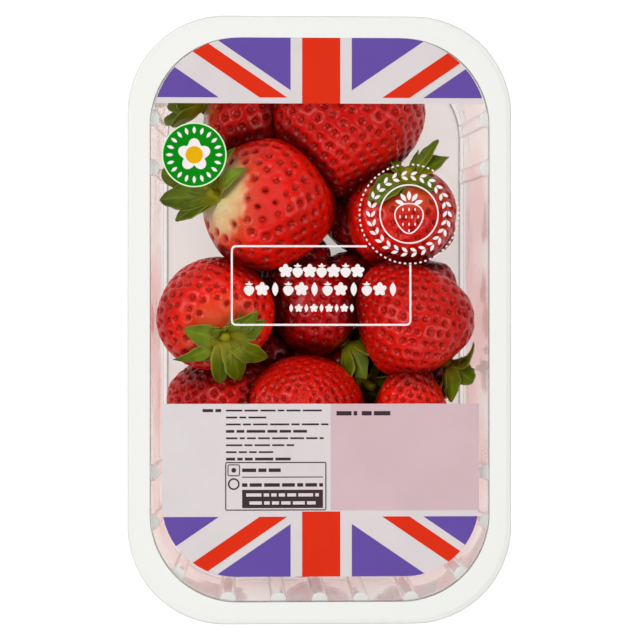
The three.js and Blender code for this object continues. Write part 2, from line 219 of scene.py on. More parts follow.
def tray_shell():
    """Points, faces and values of the tray: its upper side, then its under side."""
    rings, cloud, bends = [], [], []
    ribs = RIM[:, 4]
    base = (WALL_FOOT + FOOT_RADIUS + 6 * MM, SHEET, 0.0, 0.0, 0.0, 0.0)
    sections = [base, *tray_sections()]
    for inset, z, depth, _, cloudy, sharp in sections:
        rings.append(ring(inset, z, depth))
        on_ledge = LEDGE_FOOT < z <= LEDGE_TOP
        cloud.append(cloudy * smooth(0.1, 0.4, ribs) if on_ledge else np.full(len(RIM), cloudy))
        # painted grey along the ribs and at sharp bends, standing in for their reflections
        on_rib = 0.6 * near(ribs, 0.42, 0.36) if depth > 0 else 0 * ribs
        bends.append(np.maximum(on_rib, sharp * (ribs > 0) if on_ledge else sharp))
    for inset, z, depth, tilt, _, sharp in reversed(sections):
        rings.append(ring(inset - SHEET * math.sin(tilt), z - SHEET * math.cos(tilt), depth))
        cloud.append(np.full(len(RIM), 1.0 if z > TRAY_TOP - MM else 0.0))
        bends.append(np.full(len(RIM), sharp / 2))
    return *loft(rings[::-1]), sheet_values(cloud[::-1], bends[::-1])


def colour(red, green, blue):
    """A colour given as it looks on a screen, as the shaders want it."""
    return (*[(level / 255) ** 2.2 for level in (red, green, blue)], 1)


def new_material(name):
    """An empty material and its node tree."""
    material = bpy.data.materials.new(name)
    material.use_nodes = True
    material.node_tree.nodes.clear()
    return material, material.node_tree


def node(tree, kind, sockets=None, **settings):
    """One shader node with its sockets set, or linked where a socket is given as the value."""
    made = tree.nodes.new("ShaderNode" + kind)
    for key, value in settings.items():
        setattr(made, key, value)
    for key, value in (sockets or {}).items():
        if isinstance(value, bpy.types.NodeSocket):
            tree.links.new(value, made.inputs[key])
        else:
            made.inputs[key].default_value = value
    return made


def calculate(tree, operation, first, second):
    """The result of one Math node."""
    return node(tree, "Math", {0: first, 1: second}, operation=operation).outputs[0]


def remap(tree, value, low, high, least=0.0, most=1.0):
    """A value stretched from low and high to least and most, and held between them."""
    return node(tree, "MapRange", {0: value, 1: low, 2: high, 3: least, 4: most}).outputs[0]


def blend_colours(tree, share, first, second, blend="MIX"):
    """The colour of one Mix node."""
    sockets = {0: share, 6: first, 7: second}
    return node(tree, "Mix", sockets, data_type="RGBA", blend_type=blend).outputs[2]


def mix_shaders(tree, share, first, second):
    """One shader, and a share of a second one."""
    return node(tree, "MixShader", {0: share, 1: first.outputs[0], 2: second.outputs[0]})


def show(tree, shader):
    """Put a shader on the surface."""
    node(tree, "OutputMaterial", {"Surface": shader.outputs[0]})


def bump(tree, height, distance, strength):
    """The normal of a surface with a low relief."""
    sockets = {"Height": height, "Distance": distance, "Strength": strength}
    return node(tree, "Bump", sockets).outputs[0]


def reading(tree, name):
    """A number that the mesh holds for each corner."""
    return node(tree, "Attribute", attribute_name=name).outputs["Fac"]


def noise(tree, scale, detail, roughness=0.5):
    """Cloudy noise that is fixed to the object."""
    sockets = {"Scale": scale, "Detail": detail, "Roughness": roughness}
    sockets["Vector"] = node(tree, "NewGeometry").outputs["Position"]
    return node(tree, "TexNoise", sockets).outputs[0]


def new_group(name, inputs, output):
    """A shader group with named sockets: the group, what goes in, and where it comes out."""
    group = bpy.data.node_groups.new(name, "ShaderNodeTree")
    for label, kind in inputs.items():
        group.interface.new_socket(label, in_out="INPUT", socket_type="NodeSocket" + kind)
    for label, kind in output.items():
        group.interface.new_socket(label, in_out="OUTPUT", socket_type="NodeSocket" + kind)
    given = group.nodes.new("NodeGroupInput").outputs
    return group, given, group.nodes.new("NodeGroupOutput").inputs[0]


def edge_mirror(tree, facing, least):
    """How much a thin clear sheet mirrors: least face on, half or more at a grazing angle."""
    steep = calculate(tree, "POWER", facing, 3.4)
    return calculate(tree, "ADD", calculate(tree, "MULTIPLY", steep, 0.55), least)


def sheet_waves_group():
    """Group: the slow waves and fine draw marks of a drawn or stretched plastic sheet."""
    inputs = {"Wave Scale": "Float", "Mark Share": "Float"}
    group, given, height = new_group("sheet_waves", inputs, {"Height": "Float"})
    waves = noise(group, given[0], 1.5)
    marks = calculate(group, "MULTIPLY", noise(group, 900.0, 2.0), given[1])
    group.links.new(calculate(group, "ADD", waves, marks), height)
    return group


SHEET_WAVES = sheet_waves_group()


def wavy_normal(tree, wave_scale, mark_share, depth):
    """The normal of a plastic sheet with the waves above."""
    waves = node(tree, "Group", {0: wave_scale, 1: mark_share}, node_tree=SHEET_WAVES)
    return bump(tree, waves.outputs[0], depth, 1.0)


def let_light_down(tree, seen, for_light):
    """How solid a translucent layer is: one share as it is seen, less for light on its way."""
    is_light = node(tree, "LightPath").outputs["Is Shadow Ray"]
    return remap(tree, is_light, 0.0, 1.0, seen, for_light)


PAINTED_BEND_GREY = (0.4, 0.4, 0.38, 1)
PAINTED_REFLECTION_THROUGH = (0.955, 0.79, 0.79, 1)
PAINTED_REFLECTION_MIRRORED = (1, 0.74, 0.74, 1)


def clear_sheet_material(name, least_mirror, gloss, tint, cloud_colour, normal_values):
    """Clear plastic that mirrors at its edges, painted grey at bends for their reflections, white
    where the mesh says so.

    At a grazing angle it shows the painted reflection of red fruit that the mesh holds.
    """
    material, tree = new_material(name)
    normal = wavy_normal(tree, *normal_values)
    facing = node(tree, "LayerWeight", {"Blend": 0.5}).outputs["Facing"]
    painted_fruit_reflection = calculate(tree, "MULTIPLY", reading(tree, "painted_fruit_reflection"), facing)
    # painted grey at bends, standing in for how they reflect dark
    seen_through = blend_colours(tree, reading(tree, "bend"), tint, PAINTED_BEND_GREY)
    seen_through = blend_colours(tree, painted_fruit_reflection, seen_through, PAINTED_REFLECTION_THROUGH, "MULTIPLY")
    gloss = blend_colours(tree, painted_fruit_reflection, gloss, PAINTED_REFLECTION_MIRRORED)
    mirror = node(tree, "BsdfGlossy", {"Color": gloss, "Roughness": 0.04, "Normal": normal})
    through = node(tree, "BsdfTransparent", {"Color": seen_through})
    factor = edge_mirror(tree, facing, least_mirror)
    clear = mix_shaders(tree, factor, through, mirror)
    sockets = {"Base Color": cloud_colour, "Roughness": 0.5, "Specular IOR Level": 0.2}
    cloudy = node(tree, "BsdfPrincipled", sockets | {"Normal": normal})
    held_back = let_light_down(tree, 0.97, 0.35)
    share = calculate(tree, "MULTIPLY", reading(tree, "cloud"), held_back)
    show(tree, mix_shaders(tree, share, clear, cloudy))
    return material


# The mirror's slight pink is a painted reflection of the red fruit.
tray_gloss = (1, 0.92, 0.91, 1)
tray_tint = (0.943, 0.933, 0.925, 1)
tray_cloud = colour(238, 239, 236)
tray_waves = (60.0, 0.04, 0.0006)
tray_plastic = clear_sheet_material(
    "clear_formed_plastic", 0.035, tray_gloss, tray_tint, tray_cloud, tray_waves
)
points, faces, values = tray_shell()
tray = make_piece("tray_shell", points, faces, tray_plastic, values, crease=35)
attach(tray, "root")
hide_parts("tray")


# ---- strawberries ----
# Ripe dessert strawberries of uneven size, packed by hand with the finest on top. Each is a
# swollen flower base, set all over with small dry fruits in pits, and some are pale at the
# shoulder. Where a berry meets the wall or the film it lies flat against it.


def make_berry(at, size, aim, taper, ripe, pale=0.0, pitch=3.9, crown=()):
    """One berry: its middle and its length, width and thickness in millimetres.

    aim: way of the tip, in degrees round from +X and down. ripe: 0 is orange red, 1 dark
    crimson. pale: how far the shoulder stayed unripe. pitch: steps between seeds. crown: for
    each sepal its turn round the stalk, its length, how far it stands off, and its width
    where that is unusual.
    """
    keys = ("at", "size", "aim", "taper", "ripe", "pale", "pitch", "crown")
    return dict(zip(keys, (at, size, aim, taper, ripe, pale, pitch, crown)))


def even_crown(count, off):
    """A crown whose sepals stand evenly round the stalk."""
    return [(360 * leaf / count, 14.5, off) for leaf in range(count)]


BERRIES = [
    make_berry((-19.5, 66, 18), (37, 33, 32), (-10, 10), 0.3, 0.6, 0.8, 4.5, even_crown(8, 0.9)),
    make_berry((9.5, 62, 24), (45, 50.5, 43), (-95, 6), 0.3, 0.5, pitch=4.2),
    make_berry(
        (-14, 36.5, 31), (44, 42, 40), (-8, 34), 0.28, 0.24, 0.94, 4.9,
        [(122, 15, 0.15, 6.4), (172, 14.5, 0.1, 5.4), (205, 17, 0.4), (250, 20, 0.8, 8.4),
         (278, 18, 0.8, 8), (310, 14, 0.7)],
    ),
    make_berry(
        (27, 31, 24), (37, 36, 34), (-94, 40), 0.28, 0.45, 0.75, 4.1,
        [(220, 14.5, 0.8, 5.2), (199, 14.5, 0.4, 7), (36, 14, 0, 6), (60, 14, 0, 6), (150, 10, 0),
         (300, 10, 0.1, 5)],
    ),
    make_berry(
        (-33.2, 3.5, 29.5), (39, 38, 36), (112, 62), 0.24, 0.12, 0.68, 3.7,
        [(2, 12.8, 0.15), (24, 13, 0.35), (52, 8.5, 0.9), (112, 7, 0.9), (148, 12, 0.1, 8),
         (195, 16.5, 0, 5.4), (236, 15.5, 0.15), (270, 16.5, 0.1), (302, 16.5, 0.1)],
    ),
    make_berry(
        (-3, 6.5, 22), (39, 28.5, 31), (131, 4), 0.3, 1.0, 0.0, 3.9,
        [(0, 12, 0.5), (45, 15, 1.3), (92, 14, 2.2), (135, 14, 1), (180, 12, 0.8),
         (215, 15, 1.5), (270, 12, 0.7)],
    ),
    make_berry(
        (29.8, 0.8, 31.5), (39.5, 36, 38), (130, -6), 0.22, 0.47, 0.0, 3.8,
        [(36, 12, 0, 9), (76, 11, 1, 8), (120, 13, 0.9), (180, 13, 1, 9), (205, 10, 0.4),
         (300, 12, 0.8)],
    ),
    make_berry((-30, -28.3, 19), (38, 36, 34), (165, 5), 0.2, 0.5, pitch=3.6),
    make_berry((-4.4, -28.3, 32.5), (41, 41, 39), (100, -66), 0.3, 0.35, pitch=4.2),
    make_berry((30.2, -31.6, 32), (38, 27.4, 29), (90, -8), 0.35, 0.0, pitch=3.7),
    make_berry((-27.5, -62, 30), (40, 37, 38), (-115, 14), 0.3, 0.5, 0.3, 3.9, even_crown(8, 0.5)),
    make_berry((3.5, -61.5, 23), (40, 37, 38), (-80, -6), 0.28, 0.6, 0.2, 3.9, even_crown(8, 0.4)),
    make_berry((31, -62, 22), (38, 33, 34), (-60, 10), 0.3, 0.4, 0.5, 3.9, even_crown(8, 0.5)),
    make_berry(
        (10.5, -14, 12.5), (26, 24, 23.5), (130, 50), 0.25, 0.7, 0.2, 3.9,
        [(30, 9, 0.1, 5.5), (90, 8, 0.1), (150, 8, 0.1), (210, 8, 0.1), (265, 9, 0.3, 6),
         (300, 9, 0.3, 5), (335, 10, 0.2, 6.5)],
    ),
]
# The layer beneath: smaller berries, without their crowns where nothing shows of them.
LOWER_BERRIES = [
    ((-13, -46, 13), 27, (20, 6)),
    ((15, -48, 13), 27, (160, 4)),
    ((-5, 15.5, 14), 25, (-70, 5)),
    ((-16, 19, 12), 23, (-70, 5)),
    ((14, 11.5, 13), 25, (15, 5)),
    ((15.8, 32.5, 13), 27, (-60, 5)),
    ((34.5, 33, 13), 25, (80, 5)),
    ((34.5, 8, 13), 25, (-95, 5)),
    ((34, -16, 13), 26, (100, 5)),
    ((-14, -10, 13), 26, (30, 5)),
    ((34, -42, 13), 25, (85, 5)),
    ((-9, 78, 13), 24, (140, 5)),
    ((-29, -71, 13), 26, (-80, 5)),
    ((0, -72, 13), 26, (100, 5)),
    ((28, -71, 13), 26, (-100, 5)),
]
for at, length, aim in LOWER_BERRIES:
    BERRIES.append(make_berry(at, (length, length - 2, length - 2.5), aim, 0.25, 0.9))

GOLDEN_TURN = math.pi * (3 - math.sqrt(5))
PIT_DEPTH = 0.7 * MM
PIT_RINGS = ((0.12, 6, 0.0), (0.2, 9, 0.5), (0.29, 12, 0.0), (0.37, 12, 0.0))
PIT_SIDE = (0.17, 0.37)  # where a pit's side starts and ends, as a share of the pits' spacing
SWELL_SIDE = (0.3, 0.55)
SWELL = 0.25 * MM  # of the flesh between the pits
FILL_PER_PIT = 7
LUMPINESS = 0.011
CALYX_DENT = 1.3 * MM
CLEARANCE = 0.35 * MM  # between the fruit and its pack
# Painted shade: skin and seeds are darkened where other berries lie near, standing in for the
# shade between them.
CONTACT_SHADE_LOOK_OUT = 4 * MM  # how far off the skin its neighbours are looked for
CONTACT_SHADE_REACH = 7 * MM  # a neighbour nearer than this to that place darkens the skin
PAINTED_CONTACT_SHADE = (0.3, 0.26, 0.3, 1)
PAINTED_REFLECTION_REACH = 18 * MM
PAINTED_REFLECTION_RISE = (1 * MM, 6 * MM)  # heights between which the wall's painted reflection comes in
PAINTED_REFLECTION_FADE = (60 * MM, 80 * MM)  # from the middle, where it fades to a half
FRUIT_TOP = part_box("film")[0].z - 0.5 * MM


def berry_frame(berry):
    """The turn of a berry as rows: its level way, its third way, and the way of its calyx."""
    turn, down = np.radians(berry["aim"])
    flat = math.cos(down)
    calyx_way = np.array([-flat * math.cos(turn), -flat * math.sin(turn), math.sin(down)])
    level_way = np.cross([0, 0, 1], calyx_way)
    level_way /= np.linalg.norm(level_way)
    return np.stack([level_way, np.cross(calyx_way, level_way), calyx_way])


def girth(berry, along):
    """How far the taper widens or narrows a berry at a place along its axis."""
    taper = berry["taper"]
    return (1 + taper * along) / (1 + taper**2 / 2)


def gap_to(berry, points):
    """About how far points lie outside a berry's skin."""
    length, width, thickness = [side * MM / 2 for side in berry["size"]]
    own = (points - np.array(berry["at"]) * MM) @ berry_frame(berry).T
    own /= [width, thickness, length]
    own[:, :2] /= girth(berry, np.clip(own[:, 2], -1, 1))[:, None]
    return (np.linalg.norm(own, axis=1) - 1) * min(width, thickness)


def closeness(points, berries, reach):
    """1 where points touch one of the berries, down to 0 a reach away from all of them."""
    gaps = np.min([gap_to(berry, points) for berry in berries], axis=0)
    return 1 - smooth(0, reach, gaps)


def skin(berry, ways, draw):
    """Where ways out from the berry's middle meet its skin, before it has pits."""
    length, width, thickness = [side * MM / 2 for side in berry["size"]]
    along = ways[:, 2]
    wide = girth(berry, along)
    lumps = 1 + LUMPINESS * np.sin(ways @ draw["slopes"].T + draw["phases"]).sum(1)
    own = np.stack([ways[:, 0] * wide * width, ways[:, 1] * wide * thickness, along * length], 1)
    own *= lumps[:, None]
    own[:, 2] -= CALYX_DENT * smooth(0.82, 1, along)
    return own @ berry_frame(berry) + np.array(berry["at"]) * MM


def spiral(count, start=0.0):
    """Ways spread evenly over a ball on a golden spiral, from one pole to the other."""
    step = np.arange(count) + 0.5
    along = 1 - 2 * step / count
    turn = GOLDEN_TURN * step + start
    wide = np.sqrt(1 - along**2)
    return np.stack([wide * np.cos(turn), wide * np.sin(turn), along], 1)


def tangents(berry, ways, draw):
    """Unit ways down the meridian and round it, and the skin's stretch along both."""
    round_way = np.cross([0, 0, 1], ways)
    round_way /= np.maximum(np.linalg.norm(round_way, axis=1, keepdims=True), 1e-9)
    down_way = np.cross(round_way, ways)
    step = 1e-3
    moved = []
    for way in (down_way, round_way):
        change = skin(berry, ways + way * step, draw) - skin(berry, ways - way * step, draw)
        moved.append(change / (2 * step))
    return down_way, round_way, moved[0], moved[1]


def nearest(points, targets):
    """For each point, the distance to the nearest target and its number."""
    best = np.full(len(points), np.inf)
    which = np.zeros(len(points), int)
    block = 512
    for start in range(0, len(points), block):
        part = points[start : start + block]
        away = np.linalg.norm(part[:, None] - targets[None], axis=2)
        which[start : start + block] = away.argmin(1)
        best[start : start + block] = away.min(1)
    return best, which


def keep_inside(points):
    """Points moved clear of wall, ribs, base and film, and how far each was moved."""
    sections = np.array([row[:3] for row in tray_sections()])
    sections = sections[sections[:, 1] < LEDGE_FOOT + 1e-6]
    size = np.abs(points[:, :2])
    past = size - [HALF_END, HALF_SIDE]
    corner = (past > 0).all(1)
    reach = np.where(corner, np.linalg.norm(past, axis=1), past.max(1))
    room = RIM_RADIUS + RIM_INSET - reach
    angle = np.arctan2(past[:, 1], past[:, 0])
    on_side = np.where(past[:, 0] > past[:, 1], size[:, 1], QUARTER_RUN - size[:, 0])
    run = np.where(corner, HALF_SIDE + RIM_RADIUS * angle, on_side)
    z = np.clip(points[:, 2], SHEET + CLEARANCE, FRUIT_TOP)
    inset = np.interp(z, sections[:, 1], sections[:, 0])
    depth = np.interp(z, sections[:, 1], sections[:, 2])
    need = inset + depth * rib_share(run) + CLEARANCE
    short = np.maximum(0, need - room)
    sideways = past / np.maximum(np.linalg.norm(past, axis=1, keepdims=True), 1e-9)
    straight = np.where(past[:, :1] > past[:, 1:], [1.0, 0.0], [0.0, 1.0])
    way = np.where(corner[:, None], sideways, straight) * np.sign(points[:, :2])
    kept = points.copy()
    kept[:, :2] -= way * short[:, None]
    kept[:, 2] = z
    return kept, np.linalg.norm(kept - points, axis=1)


def hull_faces(ways):
    """Triangles between neighbouring ways on a ball."""
    shape = bmesh.new()
    corners = [shape.verts.new(way) for way in ways]
    shape.verts.index_update()
    bmesh.ops.convex_hull(shape, input=corners, use_existing_faces=False)
    faces = [[corner.index for corner in face.verts] for face in shape.faces]
    shape.free()
    faces = np.array(faces)
    a, b, c = (ways[faces[:, i]] for i in range(3))
    inward = (np.cross(b - a, c - a) * (a + b + c)).sum(1) < 0
    faces[inward] = faces[inward][:, ::-1]
    return faces


def pit_count(berry):
    """How many pits a berry has room for, when they lie in triangles a pitch apart."""
    length, width, _ = berry["size"]
    return int(math.pi * length * width * 0.92 / (0.866 * berry["pitch"] ** 2))


def pit_ways(berry, chance):
    """Ways from a berry's middle to its pits: a spiral that growth has disturbed a little."""
    ways = spiral(pit_count(berry), chance.uniform(0, 6))
    ways += chance.normal(0, 0.18 * berry["pitch"] / berry["size"][1], ways.shape)
    ways /= np.linalg.norm(ways, axis=1, keepdims=True)
    return ways[ways[:, 2] < 0.9]


def skin_ways(berry, pits, spacing, draw):
    """Ways to all corners of the skin: the pits, rings round each of them, and what fills in."""
    down_way, round_way, down_step, round_step = tangents(berry, pits, draw)
    down_way = down_way * 1.3 / np.linalg.norm(down_step, axis=1, keepdims=True)
    round_way = round_way / np.linalg.norm(round_step, axis=1, keepdims=True)
    ways = [pits]
    for reach, sides, shift in PIT_RINGS:
        for side in range(sides):
            turn = 2 * math.pi * (side + shift) / sides
            offset = down_way * math.cos(turn) + round_way * math.sin(turn)
            ways.append(pits + offset * reach * spacing[:, None])
    ways.append(spiral(pit_count(berry) * FILL_PER_PIT, 1.3))
    ways = np.concatenate(ways)
    return ways / np.linalg.norm(ways, axis=1, keepdims=True)


def berry_mesh(berry, number):
    """Points, faces and colour values of one berry, and rows about its pits for the seeds."""
    chance = np.random.default_rng(100 + number)
    draw = dict(slopes=chance.normal(0, 2.4, (6, 3)), phases=chance.uniform(0, 6.28, 6))
    pits = pit_ways(berry, chance)
    pit_places = skin(berry, pits, draw)
    gaps = np.linalg.norm(pit_places[:, None] - pit_places[None], axis=2)
    spacing = np.sort(gaps, axis=1)[:, 1:4].mean(1)
    ways = skin_ways(berry, pits, spacing, draw)
    bare = skin(berry, ways, draw)
    away, owner = nearest(bare, pit_places)
    number_in_row = np.arange(len(ways))
    is_fill = number_in_row >= len(ways) - pit_count(berry) * FILL_PER_PIT
    stray = np.where(is_fill, away < 0.44 * spacing[owner], owner != number_in_row % len(pits))
    ways, bare, away, owner = ways[~stray], bare[~stray], away[~stray], owner[~stray]
    _, _, down_step, round_step = tangents(berry, ways, draw)
    normal = np.cross(down_step, round_step)
    normal /= np.linalg.norm(normal, axis=1, keepdims=True)
    outward = ((bare - np.array(berry["at"]) * MM) * normal).sum(1, keepdims=True)
    normal *= np.sign(outward)
    pit = 1 - smooth(*PIT_SIDE, away / spacing[owner])
    swell = smooth(*SWELL_SIDE, away / spacing[owner])
    depth = PIT_DEPTH * np.clip(spacing[owner] / (berry["pitch"] * MM), 0.5, 1.1)
    height = SWELL * swell - depth * pit
    kept, moved = keep_inside(bare + normal * height[:, None])
    others = [other for other in BERRIES if other is not berry]
    values = {
        "pit": pit,
        "along": ways[:, 2],
        "ripe": np.full(len(ways), berry["ripe"]),
        "pale": np.full(len(ways), berry["pale"]),
        "touch": smooth(0, 0.6 * MM, moved),
        "painted_contact_shade": closeness(kept + normal * CONTACT_SHADE_LOOK_OUT, others, CONTACT_SHADE_REACH),
    }
    rows = [part[: len(pits)] for part in (kept, normal, down_step, values["painted_contact_shade"])]
    return kept, hull_faces(ways), values, (*rows, spacing)


def mottle_group():
    """Group: a colour made uneven, lighter and darker, as grown or printed things are."""
    inputs = {"Colour": "Color", "Size": "Float", "Share": "Float"}
    group, given, uneven = new_group("mottle", inputs, {"Colour": "Color"})
    level = remap(group, noise(group, given[1], 3.0, 0.6), 0.3, 0.7, -1.0, 1.0)
    level = calculate(group, "ADD", calculate(group, "MULTIPLY", level, given[2]), 1.0)
    shaded = node(group, "HueSaturation", {"Color": given[0], "Value": level})
    group.links.new(shaded.outputs[0], uneven)
    return group


MOTTLE = mottle_group()


def mottled(tree, base, scale, share):
    """A colour made uneven by the group above."""
    return node(tree, "Group", {0: base, 1: scale, 2: share}, node_tree=MOTTLE).outputs[0]


# Where along a berry's axis its shoulder turns orange, and then cream: the place on a ripe
# berry, how far it moves on a pale one, and how soft the change is.
ORANGE_FROM = (1.03, -0.32, 0.28)
CREAM_FROM = (1.52, -0.66, 0.15)


def flesh_material():
    """Red skin, orange and cream at an unripe shoulder, with painted shade in the pits and between
    berries and a painted sheen where pressed flat.
    """
    material, tree = new_material("strawberry_flesh")
    red = blend_colours(tree, reading(tree, "ripe"), colour(244, 32, 16), colour(172, 4, 10))
    red = mottled(tree, red, 90.0, 0.14)
    blotch = noise(tree, 260.0, 3.0)
    ragged = calculate(tree, "MULTIPLY", blotch, 0.14)
    ragged = calculate(tree, "ADD", reading(tree, "along"), ragged)
    pale = reading(tree, "pale")
    shares = []
    for place, gain, soft in (ORANGE_FROM, CREAM_FROM):
        low = calculate(tree, "ADD", calculate(tree, "MULTIPLY", pale, gain), place)
        shares.append(remap(tree, ragged, low, calculate(tree, "ADD", low, soft)))
    skin_colour = blend_colours(tree, shares[0], red, colour(230, 94, 52))
    skin_colour = blend_colours(tree, shares[1], skin_colour, colour(242, 218, 156))
    # painted sheen: paler where the berry is pressed flat against film or wall, standing in for
    # the light of that contact
    touch = calculate(tree, "MULTIPLY", reading(tree, "touch"), 0.35)
    skin_colour = blend_colours(tree, touch, skin_colour, colour(224, 84, 78))
    # painted shade between berries, where a neighbour lies close
    painted_contact_shade = reading(tree, "painted_contact_shade")
    skin_colour = blend_colours(tree, painted_contact_shade, skin_colour, PAINTED_CONTACT_SHADE, "MULTIPLY")
    # painted shade in the pits: the skin is darkened where the creases round the seeds lie in
    # shade
    in_pit = calculate(tree, "MULTIPLY", reading(tree, "pit"), 0.95)
    base = blend_colours(tree, in_pit, skin_colour, colour(210, 112, 112), "MULTIPLY")
    sockets = {
        "Base Color": base,
        "Roughness": remap(tree, blotch, 0.0, 1.0, 0.2, 0.36),
        "Normal": bump(tree, noise(tree, 2600.0, 2.0), 0.05 * MM, 0.5),
        "IOR": 1.42,
        "Specular IOR Level": 0.4,
        "Subsurface Weight": 0.12,
        "Subsurface Radius": (1.0, 0.22, 0.12),
        "Subsurface Scale": 2 * MM,
    }
    show(tree, node(tree, "BsdfPrincipled", sockets))
    return material


# Painted reflection: the wall close to the fruit is tinted with its red, standing in for the fruit
# mirrored in the sheet.
corners = np.array([corner.co for corner in tray.data.vertices])
up_wall = smooth(*PAINTED_REFLECTION_RISE, corners[:, 2])
up_wall *= 1 - 0.5 * smooth(*PAINTED_REFLECTION_FADE, np.abs(corners[:, 1]))
painted_fruit_reflection = tray.data.attributes.new("painted_fruit_reflection", "FLOAT", "POINT")
painted_fruit_reflection.data.foreach_set("value", np.float32(up_wall * closeness(corners, BERRIES, PAINTED_REFLECTION_REACH)))

flesh = flesh_material()
pit_rows = []
for number, berry in enumerate(BERRIES, 1):
    points, faces, values, rows = berry_mesh(berry, number)
    fruit = make_piece(f"strawberry_{number:02d}", points, faces.tolist(), flesh, values)
    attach(fruit, "root")
    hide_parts("strawberries")
    pit_rows.append(rows)


# ---- seeds ----
# The true fruits of a strawberry: dry, tear-shaped grains of one or two millimetres, one in
# each pit. They are one joined piece for all the berries.

SEED_LENGTH = 1.7 * MM
SEED_WIDTH = 1.15 * MM
SEED_HEIGHT = 0.6 * MM
SEED_STEP = 4 * MM  # pits this far apart hold a full-sized seed


def seed_shape():
    """Points and faces of one seed: six-sided, blunt at one end, pointed at the other."""
    turn = np.arange(6) * math.pi / 3
    rings = []
    for length, wide in ((-0.38, 0.62), (0.12, 1.0)):
        x = np.full(6, length * SEED_LENGTH)
        y = np.cos(turn) * wide * SEED_WIDTH / 2
        z = np.sin(turn) * wide * SEED_HEIGHT / 2
        rings.append(np.stack([x, y, z], 1))
    points, faces = loft(rings)
    points[-2] += [-0.12 * SEED_LENGTH, 0, 0]
    points[-1] += [0.38 * SEED_LENGTH, 0, 0]
    triangles = []
    for face in faces:
        triangles += [face[:3]] if len(face) == 3 else [face[:3], [face[0], face[2], face[3]]]
    return points, np.array(triangles)


def all_seeds():
    """Points, faces and colour values of the seeds of all berries."""
    chance = np.random.default_rng(7)
    shape, triangles = seed_shape()
    points, faces, tones, painted_contact_shades = [], [], [], []
    for places, normals, down_steps, painted_contact_shade, spacing in pit_rows:
        level = down_steps - (down_steps * normals).sum(1, keepdims=True) * normals
        level /= np.linalg.norm(level, axis=1, keepdims=True)
        side = np.cross(normals, level)
        scale = np.clip(spacing / SEED_STEP, 0.6, 1.15)[:, None, None]
        long, wide, high = np.moveaxis(shape[None] * scale, -1, 0)[..., None]
        placed = places[:, None] + long * level[:, None] + wide * side[:, None]
        placed = placed + (high + 0.1 * MM) * normals[:, None]
        start = sum(len(part) for part in points) + np.arange(len(places)) * len(shape)
        faces.append((triangles[None] + start[:, None, None]).reshape(-1, 3))
        points.append(placed.reshape(-1, 3))
        tones.append(np.repeat(chance.uniform(0, 1, len(places)), len(shape)))
        painted_contact_shades.append(np.repeat(painted_contact_shade, len(shape)))
    points, _ = keep_inside(np.concatenate(points))
    values = {"tone": np.concatenate(tones), "painted_contact_shade": np.concatenate(painted_contact_shades)}
    return points, np.concatenate(faces), values


def seed_material():
    """Dry husks from dark red to red brown, with painted shade where berries lie close."""
    material, tree = new_material("seed_husk")
    base = blend_colours(tree, reading(tree, "tone"), colour(162, 24, 20), colour(188, 56, 36))
    base = mottled(tree, base, 1500.0, 0.2)
    # painted shade between berries, as on the skin
    base = blend_colours(tree, reading(tree, "painted_contact_shade"), base, PAINTED_CONTACT_SHADE, "MULTIPLY")
    sockets = {"Base Color": base, "Roughness": 0.5, "Specular IOR Level": 0.15}
    show(tree, node(tree, "BsdfPrincipled", sockets))
    return material


points, faces, values = all_seeds()
seeds = make_piece("strawberry_seeds", points, faces.tolist(), seed_material(), values)
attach(seeds, "root")
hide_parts("strawberries")


# ---- dark heart of the heap: painted shade ----
# Deep between the berries hardly any light gets in. Two lumps of dark red are painted shade there:
# they close the gaps, so that they look dark red.


def heart_mesh(middle, size):
    """A lumpy egg, smaller than the heap round it."""
    ways = spiral(1600)
    lumps = 1 + 0.06 * np.sin(ways @ np.array([[9, 4, 2], [3, 14, 5]]).T).sum(1)
    return (ways * size * lumps[:, None] + middle) * MM, hull_faces(ways)


def shade_filler_material():
    """Dark red, dull and uneven: painted shade for the deep gaps."""
    material, tree = new_material("painted_shade_filler")
    base = mottled(tree, colour(112, 4, 8), 240.0, 0.3)
    sockets = {"Base Color": base, "Roughness": 0.5, "Specular IOR Level": 0.2}
    show(tree, node(tree, "BsdfPrincipled", sockets))
    return material


painted_shade_filler = shade_filler_material()
HEARTS = {"front": ([0, -32, 14], [22, 44, 9]), "back": ([-2, 66, 13], [24, 16, 8])}
for side, (middle, size) in HEARTS.items():
    points, faces = heart_mesh(middle, size)
    heart = make_piece(f"heap_heart_{side}", points, faces.tolist(), painted_shade_filler)
    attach(heart, "root")
    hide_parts("strawberries")


# ---- calyces ----
# The green crown of each berry: broad sepals with a fold along the middle and wavy sides, a
# ring of narrow bracts under them, and the cut stub of the stalk.

SEPAL_WIDTH = 7
BRACT_WIDTH = 3.2
BRACT_SHARE = 0.62  # of its sepal's length
FULL_SEPAL = 13  # a shorter sepal is narrower too
LEAF_COLUMNS = 9
LEAF_ROWS = 18
LEAF_THICKNESS = 0.3 * MM
SHOULDER_FALL = 0.018 / MM  # the shoulder falls away by this, times the reach squared
ROOM_UNDER_FILM = 3.5 * MM
STALK_SIDES = 10
STALK_LENGTH = 5.5 * MM


def leaf_grid(first):
    """Faces of one leaf's grid, numbered from first."""
    faces = []
    for row in range(LEAF_ROWS - 1):
        for column in range(LEAF_COLUMNS - 1):
            a = first + row * LEAF_COLUMNS + column
            faces.append([a, a + 1, a + 1 + LEAF_COLUMNS, a + LEAF_COLUMNS])
    return faces


